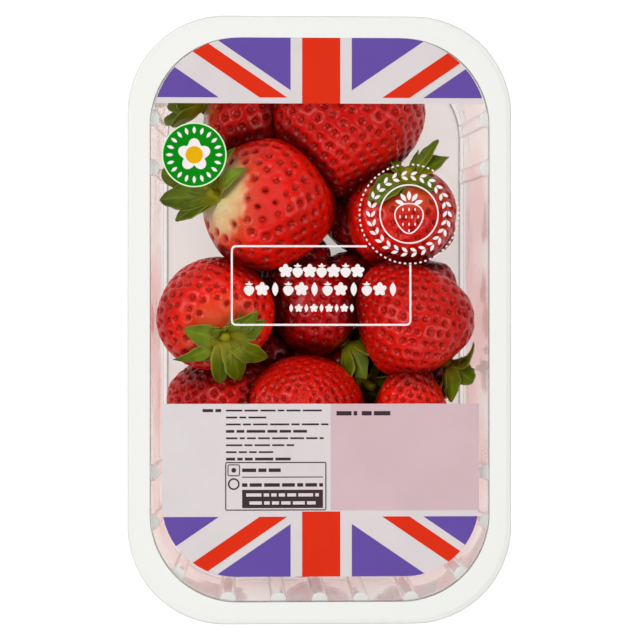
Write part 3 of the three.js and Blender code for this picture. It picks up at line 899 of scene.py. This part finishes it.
def leaf_points(berry, angle, reach, wide, off, lift, chance):
    """A grid of points over one sepal, in its berry's own frame, with its across and along."""
    spread = np.linspace(-1, 1, LEAF_COLUMNS)
    across, along = np.meshgrid(spread, np.linspace(0, 1, LEAF_ROWS))
    narrow = np.where(along < 0.5, 1 - 0.36 * (1 - along / 0.5) ** 2, 1)
    half = wide / 2 * narrow * (1 - np.clip((along - 0.4) / 0.6, 0, 1) ** 2) ** 0.9
    teeth = chance.uniform(0, 6.28, 2)
    ragged = 0.07 * np.sin(11 * along + teeth[0]) + 0.05 * np.sin(23 * along + teeth[1])
    half *= 1 + ragged * smooth(0.2, 0.5, along)
    curl = chance.uniform(0.15, 0.5)
    lean = np.arctan(off) * np.minimum(1, along * 2.5) - curl * along**2 + 0.12
    step = reach / (LEAF_ROWS - 1)
    out = 0.7 * MM + np.cumsum(np.cos(lean) * step, axis=0)
    rise = np.cumsum(np.sin(lean) * step, axis=0)
    height = berry["size"][0] / 2 * MM - 0.9 * MM + 1.7 * MM * np.minimum(1, 3 * along)
    round_back = SHOULDER_FALL * out**2 * (1 - min(1, off * 1.3))
    height = height + rise - round_back + lift
    cup = 0.3 * half * np.abs(across) ** 1.4
    phase = chance.uniform(0, 6.28)
    ripple = 0.55 * MM * np.abs(across) ** 2 * np.sin(6 * along + phase + 2 * np.sign(across))
    twist = chance.normal(0, 0.28) * across * half * along
    bend = chance.normal(0, 0.1) * along**2 * reach
    side = across * half + bend
    x = out * math.cos(angle) - side * math.sin(angle)
    y = out * math.sin(angle) + side * math.cos(angle)
    grid = np.stack([x, y, height + cup + ripple * along + twist], -1)
    return grid.reshape(-1, 3), np.abs(across).ravel(), along.ravel()


def stalk_points(berry, chance):
    """Points and faces of a short cut stalk that stands out of the crown's middle."""
    lean = chance.uniform(-0.5, 0.5, 2)
    turn = np.arange(STALK_SIDES) * 2 * math.pi / STALK_SIDES
    foot = (berry["size"][0] / 2 - 1.5) * MM
    rings = []
    for share in np.linspace(0, 1, 6):
        radius = (2.6 - 1.3 * share**0.5) * MM
        middle = lean * share**2 * 3 * MM
        x = middle[0] + radius * np.cos(turn)
        y = middle[1] + radius * np.sin(turn)
        rings.append(np.stack([x, y, np.full(STALK_SIDES, foot + share * STALK_LENGTH)], 1))
    return loft(rings)


def calyx_mesh(berry, number):
    """Points, faces and colour values of one crown."""
    chance = np.random.default_rng(300 + number)
    points, faces, across, along, sepals, bracts = [], [], [], [], [], []
    for turn, length, off, *own_width in berry["crown"]:
        width = (own_width or [SEPAL_WIDTH])[0]
        sepals.append((turn, length, off, width, 0.0))
        bract_turn = turn + chance.uniform(14, 30)
        bracts.append((bract_turn, length * BRACT_SHARE, off, BRACT_WIDTH, -0.5 * MM))
    for turn, length, off, width, lift in sepals + bracts:
        width *= chance.uniform(0.85, 1.15) * min(1, length / FULL_SEPAL) * MM
        lift += chance.uniform(0, 0.4) * MM
        angle = math.radians(turn)
        grid, aside, out = leaf_points(berry, angle, length * MM, width, off, lift, chance)
        faces += leaf_grid(len(points) * LEAF_ROWS * LEAF_COLUMNS)
        points.append(grid)
        across.append(aside)
        along.append(out)
    stalk, stalk_faces = stalk_points(berry, chance)
    first = len(points) * LEAF_ROWS * LEAF_COLUMNS
    faces += [[corner + first for corner in face] for face in stalk_faces]
    points.append(stalk)
    across.append(np.full(len(stalk), 0.4))
    along.append(np.zeros(len(stalk)))
    placed = np.concatenate(points) @ berry_frame(berry) + np.array(berry["at"]) * MM
    over = placed[:, 2] - (FRUIT_TOP - ROOM_UNDER_FILM)
    pressed = FRUIT_TOP - ROOM_UNDER_FILM * np.exp(-over / ROOM_UNDER_FILM)
    placed[:, 2] = np.where(over > 0, pressed, placed[:, 2])
    placed, _ = keep_inside(placed)
    return placed, faces, {"across": np.concatenate(across), "outward": np.concatenate(along)}


# Each tone of a sepal: the way it is measured along, where it starts and is full, and its share.
LEAF_TONES = (
    ("across", 0.2, 0.0, 0.5, (134, 150, 52)),  # vein
    ("across", 0.86, 1.0, 0.45, (176, 170, 96)),  # edge
    ("outward", 0.46, 0.1, 0.85, (150, 142, 26)),  # foot
    ("outward", 0.88, 1.05, 0.6, (104, 88, 34)),  # tip
)


def leaf_material():
    """Fresh green with a pale vein and edge, yellower at the stalk, tips a little dry."""
    material, tree = new_material("calyx_leaf")
    green = mottled(tree, colour(94, 112, 10), 160.0, 0.35)
    green = mottled(tree, green, 45.0, 0.25)
    for way, start, end, most, tone in LEAF_TONES:
        share = remap(tree, reading(tree, way), start, end, 0.0, most)
        green = blend_colours(tree, share, green, colour(*tone))
    normal = bump(tree, noise(tree, 1400.0, 3.0), 0.2 * MM, 0.6)
    sockets = {"Base Color": green, "Roughness": 0.45, "Normal": normal}
    sockets["Specular IOR Level"] = 0.2
    show(tree, node(tree, "BsdfPrincipled", sockets))
    return material


leaf_green = leaf_material()
for number, berry in enumerate(BERRIES, 1):
    if berry["crown"]:
        points, faces, values = calyx_mesh(berry, number)
        crown = make_piece(f"calyx_{number:02d}", points, faces, leaf_green, values)
        thicken = crown.modifiers.new("thickness", "SOLIDIFY")
        thicken.thickness = LEAF_THICKNESS
        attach(crown, "root")
        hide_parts("strawberries")


# ---- lidding film ----
# A thin clear film, stretched flat over the mouth and sealed by heat to the flange. It is
# cloudy where it is sealed.

film_low, film_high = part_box("film")
FILM_TOP = film_high.z


def film_mesh():
    """Points, faces and values of a flat sheet with the flange's rounded outline."""
    edge = ring(tray_high.x - film_high.x, 0)[:, :2]
    mouth = ring(FLANGE_WIDTH, 0)[:, :2]
    rings, cloud, bend = [], [], []
    # a painted grey line at the mouth's edge stands in for its reflection
    levels = [(edge, 1.0, 0.0), (mouth, 1.0, 0.0), (mouth * 0.997, 0.1, 0.8)]
    levels += [(mouth * share, 0.0, 0.0) for share in (0.991, 0.8, 0.6, 0.4, 0.2)]
    for z, order in ((film_low.z, levels[::-1]), (film_high.z, levels)):
        for outline, cloudy, bent in order:
            rings.append(np.column_stack([outline, np.full(len(RIM), z)]))
            cloud.append(np.full(len(RIM), cloudy))
            bend.append(np.full(len(RIM), bent))
    return *loft(rings), sheet_values(cloud, bend)


film_tint = (0.99, 0.99, 0.99, 1)
film_cloud = colour(237, 238, 234)
film_waves = (30.0, 0.02, 0.0004)
film_plastic = clear_sheet_material(
    "clear_lidding_film", 0.012, (1, 1, 1, 1), film_tint, film_cloud, film_waves
)
points, faces, values = film_mesh()
film = make_piece("lidding_film", points, faces, film_plastic, values, crease=35)
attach(film, "root")
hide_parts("film")


# ---- printed flag bands ----
# Two bands of a flag in white, blue and red, printed across the film's ends. The white goes
# down first, and the colours lie on it. Sizes and places of print are in millimetres.

INK_STEP = 0.03 * MM  # from one layer of ink to the next
UPPER_BAND = (69.3, 88.6)  # from where its diagonals start to the mouth's edge
LOWER_BAND = (-61.3, -80.4)
UPPER_BAND_FOOT = 67.5
OFF_FILM = 99  # past the film's edge
FLAG_MIDDLE = 0.35
CROSS_HALF = 5.95
CROSS_BORDER = 3.6
DIAGONAL_SLOPE = 0.684
WHITE_STARTS = 6.2
WHITE_ENDS = 31.9
RED_INNER = (10.6, 19.2)
RED_OUTER = (19.0, 27.6)


def box_shape(left, right, low, high):
    """A rectangle."""
    return [(left, low), (right, low), (right, high), (left, high)]


def arc_points(x, y, radius, start, end, steps=16):
    """Points round an arc, in millimetres, angles in degrees."""
    turns = np.radians(np.linspace(start, end, steps))
    return [(x + radius * math.cos(turn), y + radius * math.sin(turn)) for turn in turns]


def clip(shape, outline):
    """The part of a flat shape inside a convex outline that runs anticlockwise."""
    for (ax, ay), (bx, by) in zip(outline, outline[1:] + outline[:1]):
        kept = []
        for (px, py), (qx, qy) in zip(shape, shape[1:] + shape[:1]):
            p_in = (bx - ax) * (py - ay) - (by - ay) * (px - ax)
            q_in = (bx - ax) * (qy - ay) - (by - ay) * (qx - ax)
            if p_in >= 0:
                kept.append((px, py))
            if (p_in > 0 > q_in) or (p_in < 0 < q_in):
                share = p_in / (p_in - q_in)
                kept.append((px + (qx - px) * share, py + (qy - py) * share))
        shape = kept
        if not shape:
            return []
    return shape


def ink_material(name, shade):
    """Printing ink: satin, hardly uneven, and thin enough to let some light down on the fruit."""
    material, tree = new_material(name)
    base = mottled(tree, shade, 60.0, 0.03)
    sockets = {"Base Color": base, "Roughness": 0.42, "Specular IOR Level": 0.08}
    ink = node(tree, "BsdfPrincipled", sockets)
    clear = node(tree, "BsdfTransparent")
    solid = let_light_down(tree, 1.0, 0.3)
    show(tree, mix_shaders(tree, solid, clear, ink))
    return material


def print_piece(name, shapes, material, layer):
    """Flat shapes, given in millimetres, printed as one thin layer on the film."""
    shape = bmesh.new()
    z = FILM_TOP + layer * INK_STEP
    for outline in shapes:
        if len(outline) > 2:
            shape.faces.new([shape.verts.new((x * MM, y * MM, z)) for x, y in outline])
    bmesh.ops.remove_doubles(shape, verts=shape.verts, dist=1e-7)
    bmesh.ops.recalc_face_normals(shape, faces=shape.faces)
    for face in shape.faces:
        if face.normal.z < 0:
            face.normal_flip()
    mesh = bpy.data.meshes.new(name)
    shape.to_mesh(mesh)
    shape.free()
    mesh.materials.append(material)
    piece = bpy.data.objects.new(name, mesh)
    bpy.context.collection.objects.link(piece)
    thicken = piece.modifiers.new("ink_thickness", "SOLIDIFY")
    thicken.thickness = INK_STEP / 3
    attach(piece, "root")
    return piece


def flag_band(line, far, outline):
    """Blue and red shapes of one band, whose diagonals run from line to far."""
    up = 1 if far > line else -1
    reach = abs(far - line)
    blue, red = [], []

    def place(side, out, rise):
        """A point this far out from the flag's middle and up from the line."""
        return FLAG_MIDDLE + side * out, line + up * rise

    for side, (near_edge, far_edge) in ((-1, RED_INNER), (1, RED_OUTER)):
        run = reach / DIAGONAL_SLOPE
        start = CROSS_HALF + CROSS_BORDER
        rise = (start - WHITE_STARTS) * DIAGONAL_SLOPE
        inner = [place(side, start, rise), place(side, start, reach)]
        inner.append(place(side, WHITE_STARTS + run, reach))
        outer = [place(side, WHITE_ENDS, 0), place(side, WHITE_ENDS + run, 0)]
        outer.append(place(side, WHITE_ENDS + run, reach))
        blue += [clip(inner, outline), clip(outer, outline)]
        stripe = [place(side, near_edge, 0), place(side, far_edge, 0)]
        stripe += [place(side, far_edge + run, reach), place(side, near_edge + run, reach)]
        red.append(clip(stripe, outline))
    return blue, red


def upper_band_outline():
    """The mouth's rounded end, cut off straight."""
    half_x, half_y, radius = 52.2, 88.0, 27.5
    shape = arc_points(half_x - radius, half_y - radius, radius, 0, 90)
    shape += arc_points(radius - half_x, half_y - radius, radius, 90, 180)
    shape += [(-half_x, 0), (half_x, 0)]
    return clip(shape, box_shape(-OFF_FILM, OFF_FILM, UPPER_BAND_FOOT, OFF_FILM))


LABEL_LEFT = -49.3
LABEL_RIGHT = 49.7
LABEL_TOP = -26.1
LABEL_FOOT = -59.4
BAND_FOOT = -80.0


def lower_ground_outline():
    """The white ground under the label and the lower band, round at its lower corners."""
    radius = 23.2
    shape = [(LABEL_RIGHT, LABEL_TOP), (LABEL_LEFT, LABEL_TOP)]
    shape += arc_points(LABEL_LEFT + radius, BAND_FOOT + radius, radius, 180, 270)
    shape += arc_points(LABEL_RIGHT - radius, BAND_FOOT + radius, radius, 270, 360)
    return shape


ground = [upper_band_outline(), lower_ground_outline()]
white_ink = ink_material("white_ink", colour(216, 207, 208))
print_piece("print_ground", ground, white_ink, 1)
upper_blue, upper_red = flag_band(*UPPER_BAND, ground[0])
lower_blue, lower_red = flag_band(*LOWER_BAND, ground[1])
cross_left, cross_right = FLAG_MIDDLE - CROSS_HALF, FLAG_MIDDLE + CROSS_HALF
upper_red.append(clip(box_shape(cross_left, cross_right, 0, OFF_FILM), ground[0]))
lower_red.append(box_shape(cross_left, cross_right, BAND_FOOT, LABEL_FOOT - 0.3))
blue_ink = ink_material("blue_ink", colour(100, 78, 158))
red_ink = ink_material("red_ink", colour(218, 50, 26))
print_piece("print_flag_blue", upper_blue + lower_blue, blue_ink, 2)
print_piece("print_flag_red", upper_red + lower_red, red_ink, 2)


# ---- printed label ----
# A plain white panel with small marks in rows, and a rose panel left free for a date. The
# marks are bars: the pack carries no words.

PANEL_SPLIT = 3.3
ROW_STEP = 2.16
FIRST_ROW = -28.2
ROW_ENDS = (0.9, -16.8, 2.6, -4.1, 1.1, -8.1, -13.6, -7.9)
HEAVY_ROWS = (3, 7)
ROW_LEFT = -29.3
SHORTEST_BAR = 1.6
BAR_GAP = 0.7
NOTE_LEFT = -24.3  # the marks in the framed note at the label's foot
NOTE_RIGHT = 0.9
NOTE_SIGN = -26.9


def bars(left, right, y, height, chance, longest=6.0):
    """A row of bars as long as words, from left to right, with gaps between."""
    shapes = []
    start = left
    while start < right - 0.6:
        end = min(right, start + chance.uniform(SHORTEST_BAR, longest))
        shapes.append(box_shape(start, end, y - height / 2, y + height / 2))
        start = end + BAR_GAP
    return shapes


def outline_strip(path, width, closed=True):
    """A line of even width along a path, as a row of four-cornered shapes."""
    points = np.array(path)
    before, after = np.roll(points, 1, 0), np.roll(points, -1, 0)
    if not closed:
        before[0], after[-1] = points[0], points[-1]
    way = after - before
    way /= np.linalg.norm(way, axis=1, keepdims=True)
    side = np.stack([-way[:, 1], way[:, 0]], 1) * width / 2
    left, right = points + side, points - side
    last = len(points) if closed else len(points) - 1
    shapes = []
    for i in range(last):
        j = (i + 1) % len(points)
        shapes.append([tuple(left[i]), tuple(left[j]), tuple(right[j]), tuple(right[i])])
    return shapes


def rounded_path(left, right, low, high, radius, steps):
    """A rectangle with round corners, anticlockwise from its lower right."""
    path = arc_points(right - radius, low + radius, radius, 270, 360, steps)
    path += arc_points(right - radius, high - radius, radius, 0, 90, steps)
    path += arc_points(left + radius, high - radius, radius, 90, 180, steps)
    path += arc_points(left + radius, low + radius, radius, 180, 270, steps)
    return path


def label_marks():
    """The dark marks of the label, and the pale ones on its dark block."""
    chance = np.random.default_rng(21)
    dark, pale = [], []
    for row, right in enumerate(ROW_ENDS):
        height = 0.85 if row in HEAVY_ROWS else 0.56
        dark += bars(ROW_LEFT, right, FIRST_ROW - ROW_STEP * row, height, chance)
    dark += bars(-36.6, -30.8, FIRST_ROW, 0.95, chance, 4.5)
    dark += outline_strip(rounded_path(-29.4, 1.8, -59.2, -44.4, 0.2, 2), 0.34)
    dark.append(box_shape(NOTE_LEFT, NOTE_RIGHT, -49.1, -48.8))
    dark += outline_strip(rounded_path(-28.7, -25.1, -48.5, -45.1, 0.4, 3), 0.3)
    dark.append(arc_points(NOTE_SIGN, -46.8, 0.75, 0, 345, 14))
    dark += outline_strip(arc_points(NOTE_SIGN, -51.1, 1.6, 0, 345, 20), 0.5)
    dark += bars(NOTE_LEFT, -11.9, -46.8, 1.1, chance, 5)
    dark += bars(NOTE_LEFT, NOTE_RIGHT, -51.4, 1.1, chance, 5)
    dark.append(box_shape(NOTE_LEFT, NOTE_RIGHT, -58.6, -52.9))
    pale += bars(-23, -0.4, -54.5, 1.0, chance, 5)
    pale += bars(-22, -1.4, -57.0, 1.0, chance, 5)
    dark += bars(5.1, 11.6, -29.1, 1.35, chance, 7)
    dark += bars(13.0, 22.8, -29.1, 1.35, chance, 10)
    return dark, pale


dark_marks, pale_marks = label_marks()
panel = box_shape(PANEL_SPLIT, LABEL_RIGHT, LABEL_FOOT, LABEL_TOP)
print_piece("print_date_panel", [panel], ink_material("rose_ink", colour(207, 179, 184)), 2)
print_piece("print_label_marks", dark_marks, ink_material("dark_ink", colour(66, 52, 56)), 3)
print_piece("print_label_pale_marks", pale_marks, white_ink, 4)


# ---- printed title frame ----
# A white outline with rows of small blossoms, berries and leaves in it: an ornament where
# such packs carry a title.

white_line_ink = ink_material("white_line_ink", colour(240, 232, 230))


def motif(kind, x, y, size):
    """One small ornament as flat shapes, about size high, round its middle."""
    half = size / 2
    if kind == "blossom":
        turns = np.radians(np.arange(0, 360, 10))
        reach = half * (0.62 + 0.38 * np.abs(np.cos(2.5 * (turns - math.pi / 2))))
        return [list(zip(x + reach * np.cos(turns), y + reach * np.sin(turns)))]
    if kind == "berry":
        turns = np.radians(np.arange(0, 360, 20))
        wide = half * 0.72 * np.cos(turns) * (1 + 0.3 * np.sin(turns))
        tall = half * (0.72 * np.sin(turns) - 0.22)
        body = list(zip(x + wide, y + tall))
        top = y + half * 0.56
        crown = [(x - half * 0.6, top + half * 0.24), (x - half * 0.3, top)]
        crown += [(x + half * 0.3, top), (x + half * 0.6, top + half * 0.24)]
        crown += [(x + half * 0.22, top + half * 0.26), (x, top + half * 0.58)]
        crown.append((x - half * 0.22, top + half * 0.26))
        return [body, crown]
    turns = np.radians(np.arange(0, 360, 20))
    wide = half * 0.45 * np.cos(turns) * np.abs(np.cos(turns))
    return [list(zip(x + wide, y + half * np.sin(turns)))]


def turned_leaf(x, y, size, angle, out=0.0):
    """A leaf round its middle at x, y, turned by an angle after it was moved out."""
    cos, sin = math.cos(angle), math.sin(angle)
    blade = motif("leaf", 0, out, size)[0]
    return [(x + a * cos - b * sin, y + a * sin + b * cos) for a, b in blade]


def ornament_row(left, right, y, size, count, order):
    """A row of ornaments at even steps."""
    shapes = []
    for i in range(count):
        x = left + (right - left) * (i + 0.5) / count
        shapes += motif(order[i % len(order)], x, y, size)
    return shapes


def title_frame():
    """The outline, open where the round badge lies over its corner, and the ornaments."""
    left, right, low, high, radius = -27.5, 28.2, -1.5, 23.0, 1.3
    path = [(14.6, high)]
    path += arc_points(left + radius, high - radius, radius, 90, 180, 6)
    path += arc_points(left + radius, low + radius, radius, 180, 270, 6)
    path += arc_points(right - radius, low + radius, radius, 270, 360, 6)
    path.append((right, 17.2))
    shapes = outline_strip(path, 0.62, closed=False)
    shapes += ornament_row(-12.6, 13.6, 15.3, 4.4, 7, ("blossom", "berry"))
    shapes += ornament_row(-24.2, 24.8, 9.6, 4.4, 12, ("berry", "blossom", "leaf"))
    shapes += ornament_row(-10.2, 11.1, 3.7, 2.6, 9, ("leaf", "blossom"))
    return shapes


print_piece("print_title", title_frame(), white_line_ink, 1)


# ---- printed round badge ----
# A ring of dashes round a wreath of leaves, with one strawberry in the middle, all in white.

BADGE_X = 27.8
BADGE_Y = 33.1
BADGE_RADIUS = 15.5
DASHES = 60
WREATH_RINGS = ((0.55, 12.75), (-0.55, 11.25))  # lean and place of its outer and inner leaves
WREATH_LEAVES = 26
SEED_ROWS = ((1.4, 3), (-0.9, 4), (-3.2, 3), (-5.2, 1))  # height of each, and its seeds
SEED_GAP = 1.9


def badge_shapes():
    """Dashes, wreath, inner ring and the strawberry."""
    shapes = []
    step = 360 / DASHES
    for dash in range(DASHES):
        start = dash * step
        path = arc_points(BADGE_X, BADGE_Y, BADGE_RADIUS, start, start + step * 0.45, 3)
        shapes += outline_strip(path, 0.5, closed=False)
    for leaf in range(WREATH_LEAVES):
        turn = 2 * math.pi * leaf / WREATH_LEAVES
        for lean, out in WREATH_RINGS:
            x = BADGE_X + out * math.cos(turn)
            y = BADGE_Y + out * math.sin(turn)
            shapes.append(turned_leaf(x, y, 2.3, turn + lean))
    shapes += outline_strip(arc_points(BADGE_X, BADGE_Y, 9.1, 0, 354, 60), 0.45)
    turns = np.radians(np.arange(0, 360, 15))
    wide = 4.3 * np.cos(turns) * (1 + 0.28 * np.sin(turns))
    tall = 4.7 * np.sin(turns) - 1.4
    shapes += outline_strip(list(zip(BADGE_X + wide, BADGE_Y + tall)), 0.4)
    for rise, count in SEED_ROWS:
        for seed in range(count):
            across = SEED_GAP * (seed - (count - 1) / 2)
            shapes += motif("leaf", BADGE_X + across, BADGE_Y + rise, 1.1)
    for turn in (-70, -35, 0, 35, 70):
        shapes.append(turned_leaf(BADGE_X, BADGE_Y + 2.6, 3.0, math.radians(turn), 3.1))
    return shapes


print_piece("print_badge", badge_shapes(), white_line_ink, 1)


# ---- printed green disc ----
# A green disc with a pale rim, and on it a white blossom with a yellow middle in a wreath.

DISC_X = -39.2
DISC_Y = 51.4
DISC_RADIUS = 10.1
DISC_RIM = 0.42
DISC_LEAVES = 20
BLOSSOM_SIZE = 10.4
BLOSSOM_MIDDLE = 2.7


def disc(radius, steps=64):
    """A round shape on the disc's middle."""
    return arc_points(DISC_X, DISC_Y, radius, 0, 360 - 360 / steps, steps)


def disc_wreath():
    """The blossom, and short leaves in a ring round it."""
    shapes = motif("blossom", DISC_X, DISC_Y, BLOSSOM_SIZE)
    for leaf in range(DISC_LEAVES):
        turn = 2 * math.pi * leaf / DISC_LEAVES - math.pi / 2
        shapes.append(turned_leaf(DISC_X, DISC_Y, 2.3, turn, 7.7))
    return shapes


rim_ink = ink_material("rim_ink", colour(214, 240, 196))
green_ink = ink_material("green_ink", colour(8, 132, 20))
yellow_ink = ink_material("yellow_ink", colour(226, 170, 14))
print_piece("print_disc_rim", [disc(DISC_RADIUS)], rim_ink, 1)
print_piece("print_disc", [disc(DISC_RADIUS - DISC_RIM)], green_ink, 2)
print_piece("print_disc_wreath", disc_wreath(), white_line_ink, 3)
print_piece("print_disc_middle", [disc(BLOSSOM_MIDDLE, 32)], yellow_ink, 4)


# ---- floor, light and camera ----

# A white table, lit evenly, with four large soft lamps round the punnet. The camera looks
# down on its middle from a little to the left.

FLOOR_HALF = 1.5
FLOOR_TOP = -0.2 * MM
floor_mesh = bpy.data.meshes.new("floor")
floor_corners = box_shape(-FLOOR_HALF, FLOOR_HALF, -FLOOR_HALF, FLOOR_HALF)
floor_mesh.from_pydata([(x, y, FLOOR_TOP) for x, y in floor_corners], [], [(0, 1, 2, 3)])
floor = bpy.data.objects.new("floor", floor_mesh)
bpy.context.collection.objects.link(floor)
floor_paint, tree = new_material("lit_white_table")
sockets = {"Base Color": (0.9, 0.9, 0.9, 1), "Roughness": 0.9, "Specular IOR Level": 0.0}
sockets |= {"Emission Color": (1, 0.985, 0.97, 1), "Emission Strength": 0.55}
lit = node(tree, "BsdfPrincipled", sockets)
sockets = {"Base Color": (0.2, 0.2, 0.2, 1), "Roughness": 0.9, "Specular IOR Level": 0.0}
dull = node(tree, "BsdfPrincipled", sockets)
light_path = node(tree, "LightPath").outputs
mirrored = calculate(tree, "MULTIPLY", light_path["Is Glossy Ray"], 0.05)
bounced = calculate(tree, "ADD", light_path["Is Diffuse Ray"], mirrored)
show(tree, mix_shaders(tree, bounced, lit, dull))
floor_mesh.materials.append(floor_paint)


def softbox(name, place, width, height, power):
    """A large soft lamp that faces the punnet."""
    lamp = bpy.data.lights.new(name, "AREA")
    lamp.shape = "RECTANGLE"
    lamp.size = width
    lamp.size_y = height
    lamp.energy = power
    holder = bpy.data.objects.new(name, lamp)
    holder.location = place
    away = -holder.location
    holder.rotation_euler = away.to_track_quat("-Z", "Y").to_euler()
    bpy.context.collection.objects.link(holder)


softbox("softbox_left", (-0.75, 0.2, 0.85), 0.5, 0.9, 7.7)
softbox("softbox_right", (0.8, -0.1, 0.85), 0.5, 0.9, 5.5)
softbox("softbox_back", (0.05, 0.9, 0.8), 1.0, 0.5, 3.45)
softbox("softbox_front", (-0.1, -0.9, 0.8), 1.0, 0.5, 4.05)

# The studio is bright round the sides and dark straight above, so that flat film stays clear.
world = bpy.data.worlds.new("studio")
bpy.context.scene.world = world
world.use_nodes = True
sky = world.node_tree
toward = node(sky, "TexCoord").outputs["Generated"]
height = node(sky, "SeparateXYZ", {0: toward}).outputs["Z"]
level = remap(sky, height, 0.55, 0.92, 0.12, 0.0)
sky.links.new(level, sky.nodes["Background"].inputs["Strength"])
sky.nodes["Background"].inputs["Color"].default_value = (1, 1, 1, 1)

CAMERA_RISE = 0.8  # above the flange
CAMERA_LEFT = 32 * MM
FRAME_WIDTH = 199.7 * MM
SENSOR_WIDTH = 36
camera_data = bpy.data.cameras.new("camera")
camera = bpy.data.objects.new("camera", camera_data)
camera.location = (-CAMERA_LEFT, 0, TRAY_TOP + CAMERA_RISE)
camera.rotation_euler = (0, -math.atan2(CAMERA_LEFT, CAMERA_RISE), 0)
camera_data.sensor_width = SENSOR_WIDTH
camera_data.lens = SENSOR_WIDTH * math.hypot(CAMERA_RISE, CAMERA_LEFT) / FRAME_WIDTH
bpy.context.collection.objects.link(camera)
bpy.context.scene.camera = camera
bpy.context.scene.view_settings.view_transform = "Standard"
bpy.context.scene.cycles.transparent_max_bounces = 32
